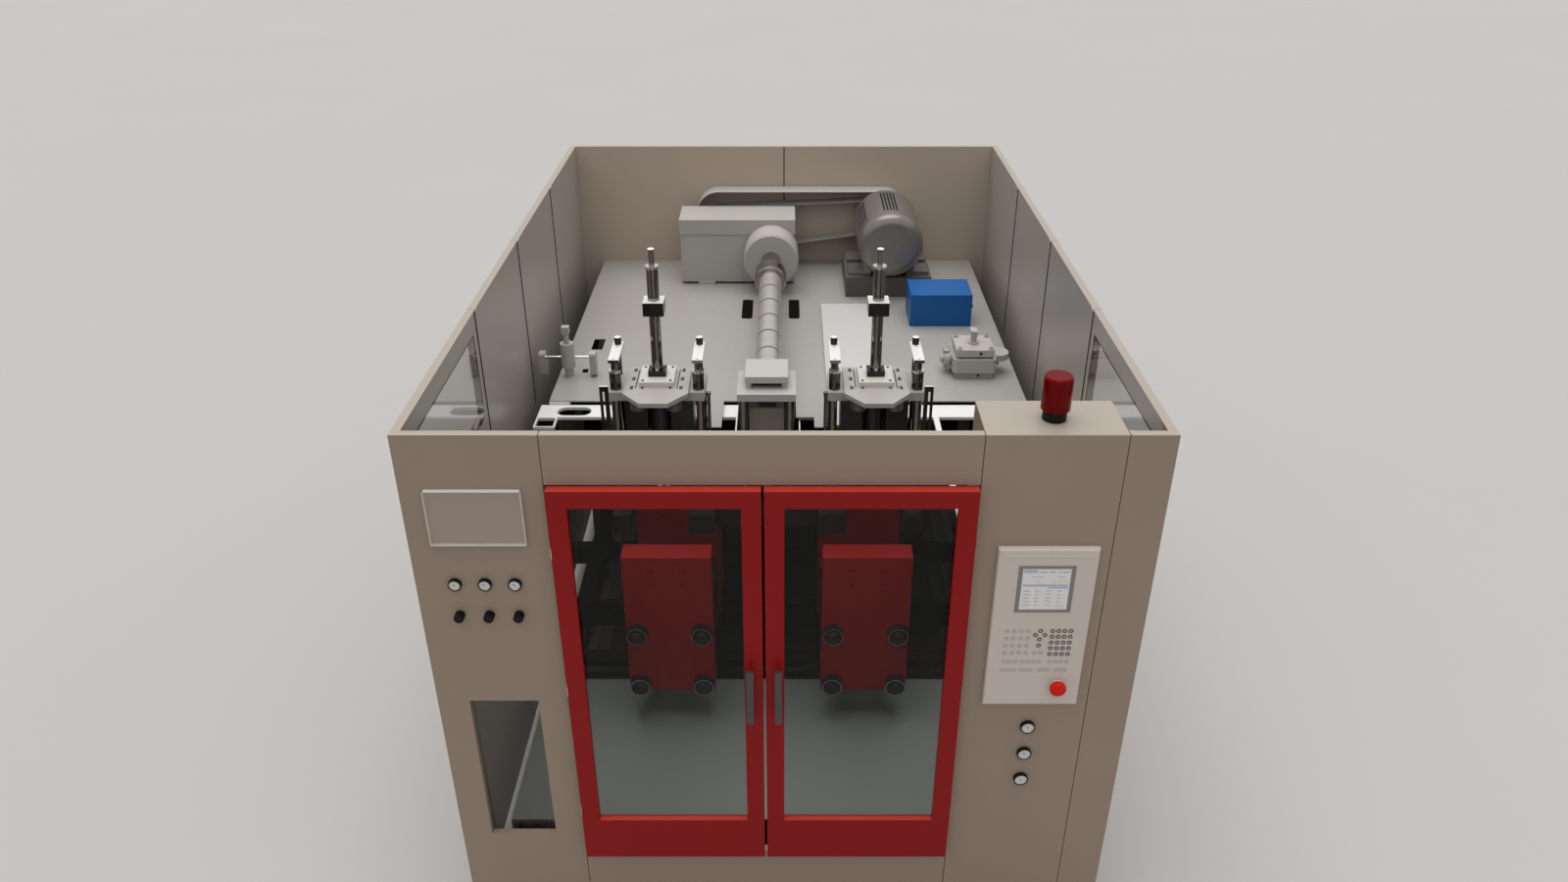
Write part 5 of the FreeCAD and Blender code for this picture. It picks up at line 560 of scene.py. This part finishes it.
def screen():
    """A grey bezel round a pale display with rows, bars and fields on it."""
    centre = middle("hmi_screen")
    half = Vector((100 * MM, 0, 100 * MM))
    edge = Vector((15 * MM, 0, 12 * MM))
    low, high = centre - half, centre + half
    front, back = HMI_FACE - 2 * MM, HMI_FACE + MM
    bezel = bmesh.new()
    add_box(bezel, (low.x, front, high.z - edge.z), (high.x, back, high.z))
    add_box(bezel, (low.x, front, low.z), (high.x, back, low.z + edge.z))
    for left in (low.x, high.x - edge.x):
        add_box(bezel, (left, front, low.z + edge.z), (left + edge.x, back, high.z - edge.z))
    piece("screen_bezel", bezel, BEZEL, bevel=0.8 * MM)
    low, high = low + edge, high - edge
    face = bmesh.new()
    add_box(face, (low.x, HMI_FACE - PROUD, low.z), (high.x, HMI_FACE + PROUD, high.z))
    piece("screen_display", face, SCREEN)
    width, height = high.x - low.x, high.z - low.z
    shown = HMI_FACE - 2 * PROUD

    def patch(mesh, left, bottom, right, top):
        """A thin box on the display, its edges given as shares of the display's size."""
        add_box(
            mesh, (low.x + left * width, shown, low.z + bottom * height),
            (low.x + right * width, HMI_FACE, low.z + top * height),
        )

    bars = bmesh.new()
    for spot in ((0.03, 0.90, 0.30, 0.97), (0.03, 0.57, 0.97, 0.62), (0.56, 0.52, 0.97, 0.56)):
        patch(bars, *spot)
    piece("screen_bars", bars, SCREEN_BAR)
    warm = bmesh.new()
    for spot in ((0.28, 0.65, 0.42, 0.73), (0.62, 0.66, 0.95, 0.73)):
        patch(warm, *spot)
    for left, right in ((0.62, 0.66), (0.82, 0.94)):
        patch(warm, left, 0.07, right, 0.10)
    piece("screen_fields", warm, SCREEN_WARM)
    rows = bmesh.new()
    for left, right in ((0.34, 0.50), (0.54, 0.68), (0.74, 0.96)):
        patch(rows, left, 0.90, right, 0.93)
    for left, right in ((0.20, 0.44), (0.74, 0.90)):
        patch(rows, left, 0.79, right, 0.81)
    for row in range(5):
        bottom = 0.10 + 0.087 * row
        for left, right in ((0.05, 0.20), (0.30, 0.38), (0.53, 0.64), (0.76, 0.84)):
            patch(rows, left, bottom, right, bottom + 0.022)
    piece("screen_rows", rows, SCREEN_INK)


def keypad():
    """Dark round keys at the right, outlined keys at the left and below."""
    columns = (965, 987, 1009, 1031)
    rows = (788.5, 814.5, 841, 867, 893.5)
    dark = [(x, drop) for x in columns for drop in rows]
    dark += [(922, 788.5), (905, 807), (939, 807), (921, 826), (921, 854)]
    light = [(x, drop) for x in (801, 826.5, 852, 877.5) for drop in (790, 822, 856, 888)]
    light += [(909, 889), (931, 889)]
    light += [(x, 929) for x in (802, 822, 843, 868, 889, 910, 931, 969, 990, 1010, 1030)]
    lowest = (801.5, 822, 843, 868, 885, 902, 934, 951, 967.5, 995.5, 1012, 1028.5)
    light += [(x, 968) for x in lowest]
    keys = bmesh.new()
    faces = bmesh.new()
    for x, drop in dark:
        add_ring(keys, hmi_spot(x, drop), 8.6 * MM, 4.6 * MM, 2.4 * MM)
        add_disc(faces, hmi_spot(x, drop), "y", 4.6 * MM, 1.6 * MM)
    piece("dark_keys", keys, KEY_DARK)
    piece("dark_key_faces", faces, KEY_FACE)
    outlines = bmesh.new()
    for x, drop in light:
        add_ring(outlines, hmi_spot(x, drop), 8.2 * MM, 7.4 * MM, 0.8 * MM)
        add_box(outlines, hmi_spot(x - 3, drop + 1, -PROUD), hmi_spot(x + 3, drop - 1, 0.0))
    piece("outlined_keys", outlines, KEY_RING)


def panel_lines():
    """The two pressed lines across the operator panel."""
    lines = bmesh.new()
    for drop in (466, 1100):
        left, right = hmi_low.x + 26 * MM, hmi_high.x - 26 * MM
        z = ROOF - drop * MM
        add_box(lines, (left, HMI_FACE - 1.5 * MM, z - 3 * MM), (right, HMI_FACE + MM, z + 3 * MM))
    piece("panel_lines", lines, HMI, bevel=1.2 * MM)


# ---- seams ----------------------------------------------------------------------------------

def side_seams(side, outer, inner):
    """Dark fillers in the gaps between the side sheets, and a dark line along each lap inside, all
    painted shade.
    """
    inward = 1 if outer < inner else -1
    strips = bmesh.new()
    for seam in SIDE_SEAMS:
        y = FRONT + seam * MM
        near, far = sorted((outer + 2 * MM * inward, inner))
        add_box(strips, (near, y - SEAM_GAP, level(200)), (far, y, ROOF - 2 * MM))
        near, far = sorted((inner, inner + LAP * inward))
        lap = y - LAP_HALF
        add_box(strips, (near, lap - LINE_WIDTH, level(1500)), (far, lap, ROOF - 2 * MM))
    piece("side_seams_" + side, strips, SEAM)


def rear_seam():
    """A dark filler in the gap between the two rear sheets, and a dark line down the lap inside,
    both painted shade.
    """
    low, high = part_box("rear_panels")
    strips = bmesh.new()
    half = SEAM_GAP / 2
    add_box(strips, (-half, low.y + LAP, level(200)), (half, high.y - 2 * MM, high.z - MM))
    add_box(strips, (-3.5 * MM, low.y - PROUD, level(1700)), (3.5 * MM, low.y + MM, high.z - MM))
    piece("rear_seam", strips, SEAM)


# ---- gauges ---------------------------------------------------------------------------------

# Each gauge's X, its drop below the enclosure's top and its radius, in millimetres.
GAUGES = [(x, 595.7, 24) for x in (-1160, -1054, -948)]
GAUGES += [(926, drop, 28) for drop in (1260, 1394, 1528)]
GAUGE_RIM = 2.2
GAUGE_FACE = FRONT - 11 * MM
GAUGE_MARKS = 11


def gauge_faces():
    """White dials with marks round the rim, a pointer and its hub."""
    dials, marks, panes = bmesh.new(), bmesh.new(), bmesh.new()
    for x, drop, radius in GAUGES:
        centre = Vector((x * MM, GAUGE_FACE, ROOF - drop * MM))
        reach = (radius - GAUGE_RIM) * MM
        add_disc(dials, centre - Vector((0, PROUD, 0)), "y", reach, MM)
        front = centre - Vector((0, 2.6 * PROUD, 0))
        for k in range(GAUGE_MARKS):
            angle = math.radians(225 - 27 * k)
            spot = front + Vector((math.cos(angle), 0, math.sin(angle))) * reach * 0.82
            half = Vector((reach * 0.09, PROUD / 2, 0.5 * MM))
            add_box(marks, spot - half, spot + half, Matrix.Rotation(-angle, 4, "Y"))
        tip = Vector((reach * 0.36, PROUD / 2, 0.8 * MM))
        lean = math.radians(135)
        spot = front + Vector((math.cos(lean), 0, math.sin(lean))) * reach * 0.25
        add_box(marks, spot - tip, spot + tip, Matrix.Rotation(-lean, 4, "Y"))
        add_disc(marks, front, "y", reach * 0.13, 1.4 * MM)
        add_disc(panes, centre - Vector((0, 3.6 * MM, 0)), "y", reach + 0.5 * MM, 0.8 * MM)
    piece("gauge_dials", dials, DIAL)
    piece("gauge_marks", marks, INK)
    piece("gauge_panes", panes, ACRYLIC)


# ---- sign plate -----------------------------------------------------------------------------

def sign_plate():
    """A bare clear plate in a thin rim that stands it off the left panel; the rim's bright colour
    is a painted highlight along the edges.
    """
    left, right, top, bottom = -1217 * MM, -886 * MM, ROOF - 208 * MM, ROOF - 426 * MM
    plate = bmesh.new()
    add_box(plate, (left, FRONT - 16 * MM, bottom), (right, FRONT - 10 * MM, top))
    piece("sign_plate", plate, SIGN, bevel=1.5 * MM)
    rim = bmesh.new()
    width = 2.2 * MM
    front, back = FRONT - 16.4 * MM, FRONT
    add_box(rim, (left, front, top - width), (right, back, top))
    add_box(rim, (left, front, bottom), (right, back, bottom + width))
    add_box(rim, (left, front, bottom), (left + width, back, top))
    add_box(rim, (right - width, front, bottom), (right, back, top))
    piece("sign_rim", rim, ACRYLIC_EDGE_HIGHLIGHT)


# ---- bolts and vents ------------------------------------------------------------------------

def station_trim(side):
    """Dark screw heads on and before the flange and on the tower bars, and two bright tube keys."""
    x = station_x(side)
    y = STATION_Y
    heads = bmesh.new()
    for dx in (-60, 60):
        for dy in (-68, 68):
            add_disc(heads, (x + dx * MM, y + dy * MM, level(1980) + MM), "z", 6 * MM, 4 * MM)
        add_disc(heads, (x + dx * MM, y - 94 * MM, level(1956) + 2 * MM), "z", 5 * MM, 6 * MM)
    for dx in (-TOWER_OFFSET, TOWER_OFFSET):
        for dy in (-66, 70):
            add_disc(heads, (x + dx * MM, y + dy * MM, level(2081) + PROUD), "z", 3.5 * MM, MM)
    piece("station_screws_" + side, heads, DARK_STEEL)
    keys = bmesh.new()
    for height in (2007, 2328):
        low = (x - 6 * MM, y - 31 * MM, level(height) - MM)
        add_box(keys, low, (x + 6 * MM, y - 21 * MM, level(height) + 11 * MM))
    piece("tube_keys_" + side, keys, BRUSHED, bevel=MM)


def bar_domes(side):
    """The rounded ends of the four tie bars, in front of their nuts."""
    low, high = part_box("tie_bars_" + side)
    centre = (low.x + high.x) / 2
    domes, rims = bmesh.new(), bmesh.new()
    for dx in (-BAR_OFFSET, BAR_OFFSET):
        for z in BAR_HEIGHTS:
            place = Vector((centre + dx * MM, low.y + 0.5 * MM, level(z)))
            shape = Matrix.Translation(place) @ Matrix.Diagonal((29 * MM, 12 * MM, 29 * MM, 1))
            bmesh.ops.create_uvsphere(domes, u_segments=32, v_segments=16, radius=1.0, matrix=shape)
            behind = place + Vector((0, 4.6 * MM, 0))
            add_ring(rims, behind, 46 * MM, 42.5 * MM, 1.6 * MM, segments=SEGMENTS)
    for polygon in domes.faces:
        polygon.smooth = True
    piece("bar_domes_" + side, domes, BLACK_STEEL, body="clamp_frame_" + side)
    piece("nut_rims_" + side, rims, BRUSHED, body="clamp_frame_" + side)


def valve_trim():
    """Bolt heads on the valve's lid, its sight plug and the drain plug, with flat dark discs for
    their sockets as painted shade.
    """
    x, y = VALVE_X, VALVE_Y
    heads, sockets = bmesh.new(), bmesh.new()
    for dx in (-78, 78):
        for dy in (-78, 78):
            spot = Vector((x + dx * MM, y + dy * MM, level(1786)))
            add_disc(heads, spot, "z", 12 * MM, 4 * MM)
            add_disc(sockets, spot + Vector((0, 0, 2 * MM)), "z", 6 * MM, MM)
    front = y - 95 * MM
    add_disc(sockets, (x + 27 * MM, front - MM, level(1762)), "y", 9 * MM, 3 * MM)
    add_disc(heads, (x + 27 * MM, front, level(1762)), "y", 12 * MM, 3 * MM)
    add_disc(sockets, (x + 22 * MM, y - 94.5 * MM, level(1642)), "y", 7 * MM, 3 * MM)
    piece("valve_heads", heads, BRUSHED, bevel=MM)
    piece("valve_sockets", sockets, INK)


def motor_vents():
    """Dark strips on the floors of the motor's two groups of air slots, as painted shade."""
    low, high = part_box("motor_pulley")
    centre_x, centre_z = (low.x + high.x) / 2, (low.z + high.z) / 2
    centre = Vector((centre_x, SLOT_START + SLOT_LENGTH / 2, centre_z))
    half = Vector((1.2 * MM, SLOT_LENGTH / 2, 4.6 * MM))
    slot_shade = bmesh.new()
    for base in SLOT_GROUPS:
        for k in range(SLOT_COUNT):
            angle = math.radians(base + SLOT_STEP * (k - SLOT_COUNT // 2))
            out = Vector((math.cos(angle), 0, math.sin(angle)))
            spot = centre + out * SLOT_RADIUS
            add_box(slot_shade, spot - half, spot + half, Matrix.Rotation(-angle, 4, "Y"))
    piece("motor_slot_shade", slot_shade, BLACK)


# ---- stage, light and camera ----------------------------------------------------------------

# The strength of the sky at the horizon and overhead, and of the plain backdrop that is seen.
SKY_LOW = 0.04
SKY_HIGH = 1.25
BACKDROP = 0.72

# Each lamp's name, strength, width in degrees and turn in degrees.
LAMPS = (("overhead", 1.7, 50, (-10, -4, 0)), ("front", 0.20, 60, (46, 0, -8)))

FLOOR_SIZE = 120

# Painted shadow under the machine: millimetres in from the machine's outline, and how bright the
# floor is from there on.
FLOOR_SHADES = ((160, 0.24), (240, 0.13), (320, 0.06), (400, 0.02))

# The photograph's eye: metres before the front face and above the roof, degrees down, and lens.
EYE_BACK = 3.288
EYE_UP = 1.7945
EYE_TILT = 28.91
EYE_LENS = 26.26


def stage():
    """A pale floor with painted shadow, darker in steps under the machine, or the panes would show
    it as pale bands.
    """
    covered = []
    for inset, shade in FLOOR_SHADES:
        x, y = cad_high.x - inset * MM, cad_high.y - inset * MM
        covered.append(((-x, -y, None), (x, y, None), (shade, shade * 0.95, shade * 0.9), 0.7, 0.0))
    bpy.ops.mesh.primitive_plane_add(size=FLOOR_SIZE, location=(0, 0, 0))
    floor = bpy.context.object
    floor.name = "floor"
    dress(floor, surface("pale_floor", (0.40, 0.393, 0.385), 0.7, vary=0.02, scale=0.4, grain=0.0,
                          zones=covered))


def light():
    """A soft sky that is brighter at its top, a wide lamp above and a weaker one from the front."""
    world = bpy.data.worlds.new("studio")
    bpy.context.scene.world = world
    world.use_nodes = True
    nodes, links = world.node_tree.nodes, world.node_tree.links
    background = nodes["Background"]
    background.inputs["Color"].default_value = (0.985, 0.99, 1.0, 1)
    place = nodes.new("ShaderNodeTexCoord")
    split = nodes.new("ShaderNodeSeparateXYZ")
    links.new(place.outputs["Generated"], split.inputs["Vector"])
    rise = nodes.new("ShaderNodeMapRange")
    rise.inputs["From Min"].default_value = 0.0
    rise.inputs["From Max"].default_value = 1.0
    rise.inputs["To Min"].default_value = SKY_LOW
    rise.inputs["To Max"].default_value = SKY_HIGH
    links.new(split.outputs["Z"], rise.inputs["Value"])
    seen = nodes.new("ShaderNodeLightPath")
    rays = seen.outputs["Is Camera Ray"]
    for kind in ("Is Glossy Ray", "Is Transmission Ray"):
        either = nodes.new("ShaderNodeMath")
        either.operation = "MAXIMUM"
        links.new(rays, either.inputs[0])
        links.new(seen.outputs[kind], either.inputs[1])
        rays = either.outputs["Value"]
    backdrop = nodes.new("ShaderNodeMix")
    links.new(rays, backdrop.inputs["Factor"])
    links.new(rise.outputs["Result"], backdrop.inputs["A"])
    backdrop.inputs["B"].default_value = BACKDROP
    links.new(backdrop.outputs["Result"], background.inputs["Strength"])
    for name, strength, size, turn in LAMPS:
        lamp = bpy.data.lights.new(name, "SUN")
        lamp.energy = strength
        lamp.angle = math.radians(size)
        lamp.color = (1.0, 0.975, 0.94)
        holder = bpy.data.objects.new(name, lamp)
        holder.rotation_euler = [math.radians(a) for a in turn]
        bpy.context.scene.collection.objects.link(holder)


def camera():
    """The photograph's view: above and in front of the doors, looking down."""
    eye = bpy.data.cameras.new("camera")
    eye.sensor_width = 36
    eye.lens = EYE_LENS
    eye.clip_end = 200
    holder = bpy.data.objects.new("camera", eye)
    holder.location = (0, FRONT - EYE_BACK, ROOF + EYE_UP)
    holder.rotation_euler = (math.radians(90 - EYE_TILT), 0, 0)
    bpy.context.scene.collection.objects.link(holder)
    bpy.context.scene.camera = holder


screen()
keypad()
panel_lines()
rear_seam()
side_seams("left", cad_low.x, cad_low.x + PANEL_DEPTH)
side_seams("right", cad_high.x, cad_high.x - PANEL_DEPTH)
gauge_faces()
sign_plate()
for trim in (station_trim, bar_domes):
    for side in ("left", "right"):
        trim(side)
valve_trim()
motor_vents()
stage()
light()
camera()
bpy.context.scene.view_settings.view_transform = "Standard"
